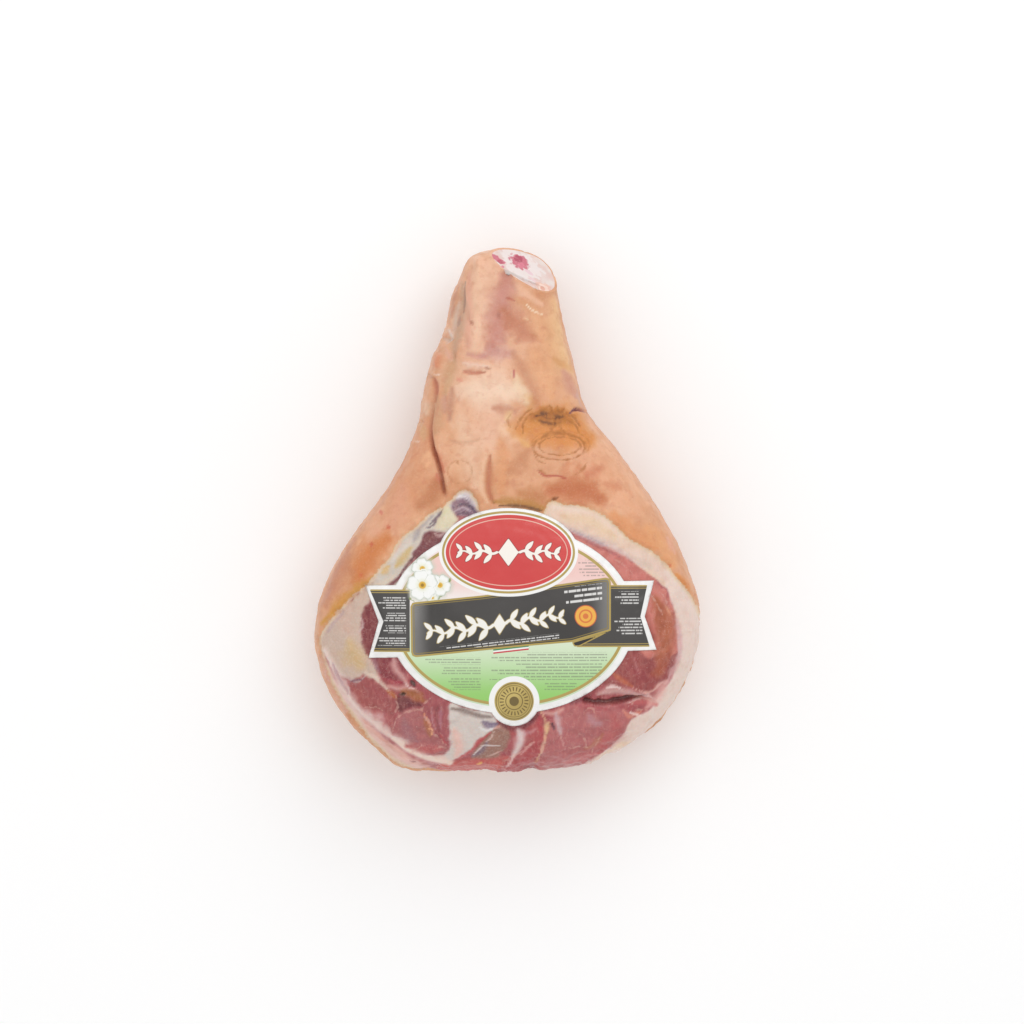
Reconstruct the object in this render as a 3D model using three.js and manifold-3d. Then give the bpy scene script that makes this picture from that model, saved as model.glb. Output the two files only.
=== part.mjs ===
// A boned, pressed cured ham lying on its rind, with its lean side up and a die-cut paper label on the lean.
// Millimetres, +Z up. +Y runs from the butt to the sawn shank. The origin is under the middle of the ham's
// box, at the height of the surface that it rests on.
import * as THREE from "three";
import Module from "manifold-3d";
import { mergeVertices } from "three/addons/utils/BufferGeometryUtils.js";

const wasm = await Module();
wasm.setup();

// ---- Driving dimensions ----------------------------------------------------------------------------------

const HAM_LENGTH = 420; // butt to the top of the sawn shank
const HAM_THICKNESS = 126; // resting face to the top of the lean
const LABEL_THICKNESS = 0.4; // laminated paper
const LABEL_GAP = 0.6; // clears the chords of the ham's facets
const TOP_ROUNDNESS = 2.7; // superellipse powers of a cross section above and below its widest line
const UNDER_ROUNDNESS = 2.6;
const SHANK_ROUNDNESS = 2.4; // both, at the shank
const RING_POINTS = 52; // round one cross section
const RINGS_PER_STATION = 2;
const HALF_OVAL_STEPS = 24; // chords round half of an oval
const SHEET_STEP = 8; // grid of the sheet that the label is stamped from

// ---- Ham -------------------------------------------------------------------------------------------------

// One cross section across Y: the left and right edges of the outline, the highest point of the lean side,
// the height of the widest line and the lowest point of the rind side. A negative "under" is pressed flat at
// z = 0.
const section = (y, left, right, top, middle, under) => ({ y, left, right, top, middle, under });

const STATIONS = [
  section(-210, -60, 8, 62, 54, 46),
  section(-208.5, -82, 24, 73, 54, 37),
  section(-204, -93, 58, 86, 55, 25),
  section(-195, -102, 87, 98, 56, 13),
  section(-180, -119, 111, 108, 57, 4),
  section(-158, -137, 131, 116, 58, -1),
  section(-128, -151, 148, 122, 59, -3),
  section(-94, -156, 156, 125.5, 60, -4),
  section(-60, -148, 149, 126, 60, -4),
  section(-28, -131, 137, 124, 60, -4),
  section(2, -109, 120, 120, 59, -3.5),
  section(30, -90, 101, 115, 58, -2.5),
  section(56, -78, 82, 110, 57, -1),
  section(78, -71, 64, 105, 56, 1),
  section(100, -67.5, 57, 101, 56, 5),
  section(124, -61, 50.5, 98, 56, 10),
  section(148, -50.5, 44.5, 95, 57, 14),
  section(170, -46, 40.5, 93, 58, 17),
  section(188, -39, 37, 91.5, 58, 19),
  section(200, -35, 30, 89, 57, 24),
  section(206, -29, 21, 83, 56, 32),
  section(210, -18, 4, 68, 55, 44),
];

// Each measure of a section as a smooth curve through the stations.
const MEASURES = ["left", "right", "top", "middle", "under"];
const spline = (name) => new THREE.SplineCurve(STATIONS.map((s) => new THREE.Vector2(s.y, s[name])));
const curves = Object.fromEntries(MEASURES.map((name) => [name, spline(name)]));

function sectionAt(share) {
  const found = { y: curves.left.getPoint(share).x };
  for (const [name, curve] of Object.entries(curves)) found[name] = curve.getPoint(share).y;
  // The butt is pressed into a fuller section than the shank.
  const shank = THREE.MathUtils.smoothstep(found.y, 20, 130);
  found.topPower = THREE.MathUtils.lerp(TOP_ROUNDNESS, SHANK_ROUNDNESS, shank);
  found.underPower = THREE.MathUtils.lerp(UNDER_ROUNDNESS, SHANK_ROUNDNESS, shank);
  return found;
}

// Height of the lean side over a point, on the smooth form that the facets approximate.
function leanHeight(x, y) {
  let low = 0;
  let high = 1;
  while (high - low > 1e-6) {
    const half = (low + high) / 2;
    if (curves.left.getPoint(half).x < y) low = half;
    else high = half;
  }
  const s = sectionAt(low);
  const across = Math.min(1, Math.abs(x - (s.left + s.right) / 2) / ((s.right - s.left) / 2));
  return s.middle + (s.top - s.middle) * (1 - across ** s.topPower) ** (1 / s.topPower);
}

// Point k of a ring, anticlockwise seen from the butt.
function ringPoint(s, k) {
  const angle = (2 * Math.PI * k) / RING_POINTS;
  const [c, d] = [Math.cos(angle), Math.sin(angle)];
  const power = 2 / (d >= 0 ? s.topPower : s.underPower);
  const height = d >= 0 ? s.top - s.middle : s.middle - s.under;
  return [
    (s.left + s.right) / 2 + ((s.right - s.left) / 2) * Math.sign(c) * Math.abs(c) ** power,
    s.y,
    s.middle + height * Math.sign(d) * Math.abs(d) ** power,
  ];
}

// Rings from the butt to the shank, closed by a point at each end.
function hamGeometry() {
  const rings = (STATIONS.length - 1) * RINGS_PER_STATION + 1;
  const positions = [];
  for (let i = 0; i < rings; i++) {
    const s = sectionAt(i / (rings - 1));
    for (let k = 0; k < RING_POINTS; k++) positions.push(...ringPoint(s, k));
  }
  const ends = [STATIONS[0], STATIONS.at(-1)].map((s) => [(s.left + s.right) / 2, s.y, s.middle]);
  positions.push(...ends[0], ...ends[1]);
  const [buttPole, shankPole] = [rings * RING_POINTS, rings * RING_POINTS + 1];
  const index = [];
  for (let k = 0; k < RING_POINTS; k++) {
    const next = (k + 1) % RING_POINTS;
    index.push(buttPole, k, next);
    for (let i = 0; i < rings - 1; i++) {
      const [a, b] = [i * RING_POINTS + k, i * RING_POINTS + next];
      index.push(a, a + RING_POINTS, b, b, a + RING_POINTS, b + RING_POINTS);
    }
    const last = (rings - 1) * RING_POINTS;
    index.push(shankPole, last + next, last + k);
  }
  return new THREE.BufferGeometry()
    .setAttribute("position", new THREE.Float32BufferAttribute(positions, 3))
    .setIndex(index);
}

// ---- Joining and cutting ---------------------------------------------------------------------------------

function solid(geometry) {
  const bare = geometry.clone();
  for (const name of ["normal", "uv"]) bare.deleteAttribute(name);
  const merged = mergeVertices(bare, 1e-4);
  return new wasm.Manifold(
    new wasm.Mesh({
      numProp: 3,
      vertProperties: new Float32Array(merged.attributes.position.array),
      triVerts: new Uint32Array(merged.index.array),
    }),
  );
}

function geometryOf(made) {
  const mesh = made.getMesh();
  return new THREE.BufferGeometry()
    .setAttribute("position", new THREE.BufferAttribute(new Float32Array(mesh.vertProperties), 3))
    .setIndex(new THREE.BufferAttribute(new Uint32Array(mesh.triVerts), 1));
}

// A block whose lower face lies on a plane, for cutting off what is beyond it.
function halfSpace(point, normal) {
  const size = 2 * HAM_LENGTH;
  const block = new THREE.BoxGeometry(size, size, size).translate(0, 0, size / 2);
  block.applyQuaternion(new THREE.Quaternion().setFromUnitVectors(new THREE.Vector3(0, 0, 1), normal));
  return block.translate(point.x, point.y, point.z);
}

// The saw cut across the shank leans towards the lean side and the outer edge.
const SAW_POINT = new THREE.Vector3(7, 185, 91);
const SAW_NORMAL = new THREE.Vector3(0.48, 0.71, 0.52).normalize();
const FLOOR_POINT = new THREE.Vector3(0, 0, 0);
const DOWN = new THREE.Vector3(0, 0, -1);

const hamSolid = solid(hamGeometry())
  .subtract(solid(halfSpace(SAW_POINT, SAW_NORMAL)))
  .subtract(solid(halfSpace(FLOOR_POINT, DOWN)));

// ---- Label -----------------------------------------------------------------------------------------------

// The outline is an oval with a forked ribbon tail on each side, a medallion at the top and a seal at the
// bottom.
const OVAL = { x: 2, y: -86.5, across: 98, up: 74.5 };
const MEDALLION = { x: 0, y: -33, across: 55, up: 35 };
const SEAL = { x: 4.5, y: -151, across: 20, up: 20 };
const TAILS = [
  [-113.5, -59.5],
  [115.5, -55.5],
  [108, -84],
  [117.5, -110.5],
  [-111, -117],
  [-103, -88],
];
const SHEET = { left: -118, right: 122, front: -176, back: 8 };

function prism(shape) {
  const settings = { depth: 2 * HAM_THICKNESS, bevelEnabled: false, curveSegments: HALF_OVAL_STEPS };
  return solid(new THREE.ExtrudeGeometry(shape, settings));
}

function oval({ x, y, across, up }) {
  return new THREE.Shape().absellipse(x, y, across, up, 0, 2 * Math.PI);
}

// A closed sheet over the lean side, LABEL_THICKNESS thick, that the outline is stamped from.
function sheetGeometry({ left, right, front, back }) {
  const across = Math.round((right - left) / SHEET_STEP);
  const along = Math.round((back - front) / SHEET_STEP);
  const flat = new THREE.BoxGeometry(right - left, back - front, 1, across, along, 1);
  flat.translate((left + right) / 2, (front + back) / 2, 0);
  const position = flat.attributes.position;
  for (let i = 0; i < position.count; i++) {
    const lift = position.getZ(i) > 0 ? LABEL_THICKNESS : 0;
    position.setZ(i, leanHeight(position.getX(i), position.getY(i)) + LABEL_GAP + lift);
  }
  return flat;
}

const tails = new THREE.Shape(TAILS.map((corner) => new THREE.Vector2(...corner)));
const outline = [oval(OVAL), oval(MEDALLION), oval(SEAL), tails]
  .map(prism)
  .reduce((whole, shape) => whole.add(shape));
const labelSolid = solid(sheetGeometry(SHEET)).intersect(outline);

// ---- Assembly --------------------------------------------------------------------------------------------

function piece(name, made, colour, roughness) {
  const material = new THREE.MeshStandardMaterial({ color: colour, roughness, metalness: 0 });
  const mesh = new THREE.Mesh(geometryOf(made), material);
  mesh.name = name;
  return mesh;
}

const ham = piece("ham", hamSolid, "#cf9069", 0.45);
const label = piece("label", labelSolid, "#ece9e4", 0.35);

const group = new THREE.Group();
group.add(ham, label);

export default group;
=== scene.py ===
"""A boned, pressed and cured ham with a die-cut paper label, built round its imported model.

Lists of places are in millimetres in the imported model's frame, and are turned to metres where a mesh is made.
+Y runs along the ham to its sawn shank, +Z points up out of the lean side, and the ham lies on its rind.
"""

import bpy
import numpy as np
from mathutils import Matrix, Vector, noise
from mathutils.bvhtree import BVHTree
from mathutils.geometry import delaunay_2d_cdt


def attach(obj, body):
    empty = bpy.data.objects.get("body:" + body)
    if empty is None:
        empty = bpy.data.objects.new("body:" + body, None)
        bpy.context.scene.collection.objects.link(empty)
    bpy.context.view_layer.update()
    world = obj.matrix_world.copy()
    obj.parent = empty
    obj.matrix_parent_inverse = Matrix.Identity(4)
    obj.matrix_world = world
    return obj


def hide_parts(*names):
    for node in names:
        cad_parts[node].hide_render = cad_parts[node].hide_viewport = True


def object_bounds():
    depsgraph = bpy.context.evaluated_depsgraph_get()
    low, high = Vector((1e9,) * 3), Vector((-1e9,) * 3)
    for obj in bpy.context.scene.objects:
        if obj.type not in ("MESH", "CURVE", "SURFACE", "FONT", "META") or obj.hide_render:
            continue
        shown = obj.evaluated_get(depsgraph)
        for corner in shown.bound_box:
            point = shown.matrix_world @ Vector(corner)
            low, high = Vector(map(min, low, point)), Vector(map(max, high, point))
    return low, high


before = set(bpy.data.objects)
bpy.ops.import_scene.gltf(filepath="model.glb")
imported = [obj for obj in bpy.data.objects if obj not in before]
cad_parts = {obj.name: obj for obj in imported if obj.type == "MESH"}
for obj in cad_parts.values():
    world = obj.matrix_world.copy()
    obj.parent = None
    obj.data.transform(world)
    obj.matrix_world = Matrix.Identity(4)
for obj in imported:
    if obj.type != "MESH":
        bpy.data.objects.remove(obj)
cad_box = [list(corner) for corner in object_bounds()]
bpy.ops.object.select_all(action="DESELECT")

# ---- Studio ----------------------------------------------------------------------------------------------
# A pale laminate table top under large soft lights, with the camera straight above the ham. The lights are
# big and even, so that the cured surface shows its own colours and only the moist lean glints.

MM = 0.001
VIEW_WIDTH = 825 * MM  # what the camera takes in at the height of the ham's widest line
WIDEST = 57.0  # that height, in millimetres
LENS = 150
SENSOR = 36
CAMERA_ASIDE = (2.8, -1.2)  # millimetres from the middle of the ham's box


def linear(colour):
    """The linear red, green, blue and alpha of an sRGB hex colour."""
    parts = [int(colour[i : i + 2], 16) / 255 for i in (1, 3, 5)]
    return [c / 12.92 if c <= 0.04045 else ((c + 0.055) / 1.055) ** 2.4 for c in parts] + [1.0]


camera_data = bpy.data.cameras.new("camera")
camera_data.lens = LENS
camera_data.sensor_width = SENSOR
camera_data.clip_end = 20
camera = bpy.data.objects.new("camera", camera_data)
middle = (np.array(cad_box[0]) + np.array(cad_box[1])) / 2
camera.location = (
    middle[0] + CAMERA_ASIDE[0] * MM,
    middle[1] + CAMERA_ASIDE[1] * MM,
    WIDEST * MM + VIEW_WIDTH * LENS / SENSOR,
)
bpy.context.scene.collection.objects.link(camera)
bpy.context.scene.camera = camera

for name, place, size, watts in [
    ("softbox_key", (0.7, 1.5, 1.9), 2.4, 21),
    ("softbox_fill", (-1.6, 0.2, 1.9), 2.4, 7),
    ("softbox_butt", (0.1, -1.8, 1.5), 2.2, 5),
]:
    light_data = bpy.data.lights.new(name, "AREA")
    light_data.size = size
    light_data.energy = watts
    light = bpy.data.objects.new(name, light_data)
    light.location = place
    light.rotation_euler = (-Vector(place)).to_track_quat("-Z", "Y").to_euler()
    bpy.context.scene.collection.objects.link(light)

world = bpy.data.worlds.new("studio")
world.use_nodes = True
world.node_tree.nodes["Background"].inputs["Color"].default_value = linear("#ffffff")
world.node_tree.nodes["Background"].inputs["Strength"].default_value = 0.72
bpy.context.scene.world = world
bpy.context.scene.view_settings.view_transform = "Standard"

bpy.ops.mesh.primitive_circle_add(vertices=96, radius=4, fill_type="NGON")
table_top = bpy.context.object
table_top.name = "table_top"
table_material = bpy.data.materials.new("matt_white_laminate")
table_material.use_nodes = True
table_surface = table_material.node_tree.nodes["Principled BSDF"]
table_surface.inputs["Base Color"].default_value = linear("#ffffff")
table_surface.inputs["Roughness"].default_value = 0.6
table_top.data.materials.append(table_material)
table_top.select_set(False)

# ---- Ham: form -------------------------------------------------------------------------------------------
# One leg of pork, boned, pressed in a mould and cured for a year or more. The mesh starts as the packed
# solid, made even and smooth, with finer faces on the lean side. The sawn face and the resting face are cut
# flat.

COARSE = 2.9 * MM  # face size on the rind side; the lean side gets half of it
FINE_FROM = 60 * MM  # height above which faces are halved
SAW_POINT = np.array([7, 185, 91]) * MM
SAW_NORMAL = np.array([0.48, 0.71, 0.52]) / np.linalg.norm([0.48, 0.71, 0.52])
SAWN_RIND = 2.0 * MM  # thickness of the skin round the sawn face
SPARE = 12 * MM  # drawn out past a flat face before smoothing, and cut off again after it


def vertex_array(mesh, name="co"):
    values = np.empty(len(mesh.vertices) * 3, np.float32)
    source = mesh.vertices if name == "co" else mesh.vertex_normals
    source.foreach_get(name if name == "co" else "vector", values)
    return values.reshape(-1, 3).astype(float)


def apply_modifier(piece, kind, **settings):
    modifier = piece.modifiers.new(kind.lower(), kind)
    for name, value in settings.items():
        setattr(modifier, name, value)
    bpy.context.view_layer.objects.active = piece
    piece.select_set(True)
    bpy.ops.object.modifier_apply(modifier=modifier.name)
    piece.select_set(False)


def select_faces(piece, wanted):
    """Leaves edit mode, and selects the faces for which wanted(face) is true."""
    bpy.ops.object.mode_set(mode="EDIT")
    bpy.ops.mesh.select_mode(type="FACE")
    bpy.ops.mesh.select_all(action="DESELECT")
    bpy.ops.object.mode_set(mode="OBJECT")
    for each in piece.data.polygons:
        each.select = bool(wanted(each))
    bpy.ops.object.mode_set(mode="EDIT")


def on_saw_face(each):
    off_plane = (each.center - Vector(SAW_POINT)).dot(Vector(SAW_NORMAL))
    return each.normal.dot(Vector(SAW_NORMAL)) > 0.99 and abs(off_plane) < MM


def on_resting_face(each):
    return each.normal.z < -0.99 and each.center.z < MM


ham = bpy.data.objects.new("cured_ham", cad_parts["ham"].data.copy())
ham.data.materials.clear()
bpy.context.scene.collection.objects.link(ham)
bpy.context.view_layer.objects.active = ham
ham.select_set(True)
bpy.ops.object.mode_set(mode="EDIT")
bpy.ops.mesh.select_all(action="SELECT")
bpy.ops.mesh.remove_doubles(threshold=0.01 * MM)
for wanted, direction in [(on_saw_face, SAW_NORMAL), (on_resting_face, np.array([0, 0, -1]))]:
    select_faces(ham, wanted)
    bpy.ops.mesh.extrude_region_move(TRANSFORM_OT_translate={"value": Vector(direction * SPARE)})
bpy.ops.object.mode_set(mode="OBJECT")
apply_modifier(ham, "REMESH", mode="VOXEL", voxel_size=COARSE, adaptivity=0)
apply_modifier(ham, "SMOOTH", factor=0.5, iterations=27)

ham.select_set(True)
bpy.ops.object.mode_set(mode="EDIT")
for point, direction in [(SAW_POINT, SAW_NORMAL), (np.zeros(3), np.array([0, 0, -1]))]:
    bpy.ops.mesh.select_all(action="SELECT")
    bpy.ops.mesh.bisect(plane_co=point, plane_no=direction, use_fill=True, clear_outer=True)
select_faces(ham, lambda each: each.center.z > FINE_FROM and not on_saw_face(each))
bpy.ops.mesh.subdivide(number_cuts=1)
bpy.ops.object.mode_set(mode="OBJECT")

places = vertex_array(ham.data)
beyond_saw = (places - SAW_POINT) @ SAW_NORMAL
free = ham.vertex_groups.new(name="free")
off_both_flats = np.flatnonzero((beyond_saw < -0.01 * MM) & (places[:, 2] > 0.01 * MM))
free.add(off_both_flats.tolist(), 1.0, "REPLACE")
apply_modifier(ham, "SMOOTH", factor=0.5, iterations=4, vertex_group="free")
ham.vertex_groups.clear()

ham.select_set(True)
select_faces(ham, on_saw_face)
bpy.ops.mesh.inset(thickness=SAWN_RIND)
bpy.ops.object.mode_set(mode="OBJECT")
sawn_faces = [each.index for each in ham.data.polygons if on_saw_face(each) and len(each.vertices) > 20]
rim_edges = {key for each in ham.data.polygons if on_saw_face(each) for key in each.edge_keys}
plain_edges = {key for each in ham.data.polygons if not on_saw_face(each) for key in each.edge_keys}
for edge in ham.data.edges:
    edge.use_edge_sharp = edge.key in rim_edges and edge.key in plain_edges
ham.select_set(False)

places = vertex_array(ham.data)
normals = vertex_array(ham.data, "normal")

# ---- Ham: laying out marks -------------------------------------------------------------------------------
# Cuts, folds and colours are laid out on a plan drawn as from a point above the ham, so it grows a little
# with height. Below the widest line it runs on outwards over the side, so that a mark can go round the
# edge.

VIEW_POINT = (*CAMERA_ASIDE, 3440)
up_mm = places[:, 2] / MM
outward = normals[:, :2] / np.maximum(np.linalg.norm(normals[:, :2], axis=1), 1e-6)[:, None]
nearer = 1 + np.maximum(0, up_mm - WIDEST)[:, None] / VIEW_POINT[2]
plan = VIEW_POINT[:2] + (places[:, :2] / MM - VIEW_POINT[:2]) * nearer
plan += outward * np.maximum(0, WIDEST - up_mm)[:, None]
saw_mm = (places - SAW_POINT) @ SAW_NORMAL / MM
MARK_FADE = (0.1, 0.55)  # upward part of the normal over which a mark on the rind appears
WIDE_MARK = (12, 24)  # half widths from which a mark on the rind may run on down a steep side
WIDE_STRAND = (4.5, 7.5)  # the same for a mark on the flesh


def smooth(low, high, value):
    share = np.clip((value - low) / (high - low), 0, 1)
    return share * share * (3 - 2 * share)


def fractal(size, octaves=3, seed=0.0):
    """Smooth noise from about -1 to 1 at each vertex, with its largest spots about size mm across."""
    shift = Vector((seed, 2 * seed, 3 * seed))
    spots = (noise.fractal(Vector(p) / (size * MM) + shift, 1.0, 2.0, octaves) for p in places)
    return np.fromiter(spots, float, len(places)) * 1.6


wobble = fractal(14, 3, 5.0)
fine_wobble = fractal(5, 2, 9.0)


def through(points, closed=False, step=2.0):
    """A smooth line through the points, as short straight pieces."""
    p = np.array(points, float)
    if closed:
        ends = np.vstack([p[-1:], p, p[:2]])
    else:
        ends = np.vstack([2 * p[:1] - p[1:2], p, 2 * p[-1:] - p[-2:-1]])
    pieces = []
    for a, b, c, d in zip(ends, ends[1:], ends[2:], ends[3:]):
        t = np.linspace(0, 1, int(np.linalg.norm(c - b) / step) + 2)[:-1, None]
        bend = (2 * a - 5 * b + 4 * c - d) * t**2 + (3 * b - a - 3 * c + d) * t**3
        pieces.append((2 * b + (c - a) * t + bend) / 2)
    return np.vstack(pieces + [p[:1] if closed else p[-1:]])


def to_line(where, line):
    """How far each place is from a line, positive on its left, and the share of the line passed there."""
    steps = np.linalg.norm(np.diff(line, axis=0), axis=1)
    passed = np.concatenate([[0], np.cumsum(steps)])
    nearest, share, side = np.full(len(where), 1e9), np.zeros(len(where)), np.ones(len(where))
    for a, b, start, length in zip(line, line[1:], passed, steps):
        if length < 1e-9:
            continue
        along = np.clip((where - a) @ (b - a) / length**2, 0, 1)
        off = where - a - along[:, None] * (b - a)
        distance = np.hypot(off[:, 0], off[:, 1])
        closer = distance < nearest
        nearest[closer] = distance[closer]
        share[closer] = ((start + along * length) / passed[-1])[closer]
        cross = (b - a)[0] * off[:, 1] - (b - a)[1] * off[:, 0]
        side[closer] = np.where(cross >= 0, 1.0, -1.0)[closer]
    return nearest * side, share


def inside(where, outline):
    """How far each place is inside a closed outline; negative outside it."""
    distance, _ = to_line(where, outline)
    within = np.zeros(len(where), bool)
    for (x0, y0), (x1, y1) in zip(outline, outline[1:]):
        crosses = (y0 > where[:, 1]) != (y1 > where[:, 1])
        at = x0 + (where[:, 1] - y0) / (y1 - y0 if y1 != y0 else 1) * (x1 - x0)
        within ^= crosses & (where[:, 0] < at)
    return np.where(within, np.abs(distance), -np.abs(distance))


def close_to(line, reach):
    return np.flatnonzero(((plan > line.min(0) - reach) & (plan < line.max(0) + reach)).all(1))


def stroke(points, half_width):
    """How fully a soft stroke covers each vertex, from 0 to 1. It narrows towards its ends.

    A narrow stroke has a clear edge, and a wide one fades from its middle.
    """
    line = through(points)
    near = close_to(line, 2.4 * half_width)
    distance, share = to_line(plan[near], line)
    narrow = 0.5 + 0.5 * smooth(0, 0.3, share) * smooth(0, 0.3, 1 - share)
    ragged = np.maximum(0.55, 1 + 0.3 * wobble[near] + 0.15 * fine_wobble[near])
    cover = np.zeros(len(plan))
    core = 0.3 * smooth(3.5, 1.0, half_width)
    edge = 1.25 - 0.25 * smooth(5.0, 1.0, half_width)
    cover[near] = 1 - smooth(core, edge, np.abs(distance) * ragged / (half_width * narrow))
    return cover


def patch(points, soft):
    """How fully an outlined patch covers each vertex, from 0 to 1, with an edge soft mm wide."""
    outline = through(points, closed=True)
    near = close_to(outline, soft + 5)
    depth = inside(plan[near], outline) + min(soft, 2.5) * 0.5 * (wobble[near] + fine_wobble[near])
    cover = np.zeros(len(plan))
    cover[near] = smooth(-soft, soft, depth)
    return cover


def srgb(colour):
    return np.array([int(colour[i : i + 2], 16) / 255 for i in (1, 3, 5)])


def paint(layer, cover, colour, strength):
    layer += (srgb(colour) - layer) * (cover * strength)[:, None]


def add_attribute(piece, name, values):
    """Stores numbers, or colours given in sRGB, at the vertices for the material to read."""
    if values.ndim == 1:
        attribute = piece.data.attributes.new(name, "FLOAT", "POINT")
        attribute.data.foreach_set("value", values.astype(np.float32))
        return
    attribute = piece.data.attributes.new(name, "FLOAT_COLOR", "POINT")
    values = np.clip(values, 0, 1)
    light = np.where(values <= 0.04045, values / 12.92, ((values + 0.055) / 1.055) ** 2.4)
    with_alpha = np.column_stack([light, np.ones(len(light))]).astype(np.float32)
    attribute.data.foreach_set("color", with_alpha.ravel())


# ---- Ham: rind -------------------------------------------------------------------------------------------
# The skin of the leg, tan and waxy after a year of drying. It is trimmed back on the lean side, pleated where
# the shank meets the thigh, and branded with a hot iron.

# The trimmed edge of the rind, which leaves the lean and its fat open. It runs from the nick over the label
# to the left, round the butt and up the right side.
OPENING = [
    (33, 7), (24, -6), (0, -5), (-20, -4), (-25, 6), (-29, 13), (-35, 17), (-42, 14), (-49, 7), (-58, 1),
    (-65, -3), (-74, -12), (-86, -21), (-97, -38), (-105, -47), (-113, -58), (-124, -67), (-137, -80),
    (-148, -93), (-153, -104), (-151, -116), (-145, -136), (-137, -152), (-124, -170), (-112, -186),
    (-96, -201), (-78, -211), (-50, -224), (0, -229), (45, -225), (78, -214), (104, -198), (128, -175),
    (147, -146), (158, -118), (162, -102), (156, -84), (148, -68), (136, -54), (126, -41), (114, -31),
    (98, -23), (88, -13), (76, -3), (62, 3), (46, 5),
]

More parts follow.
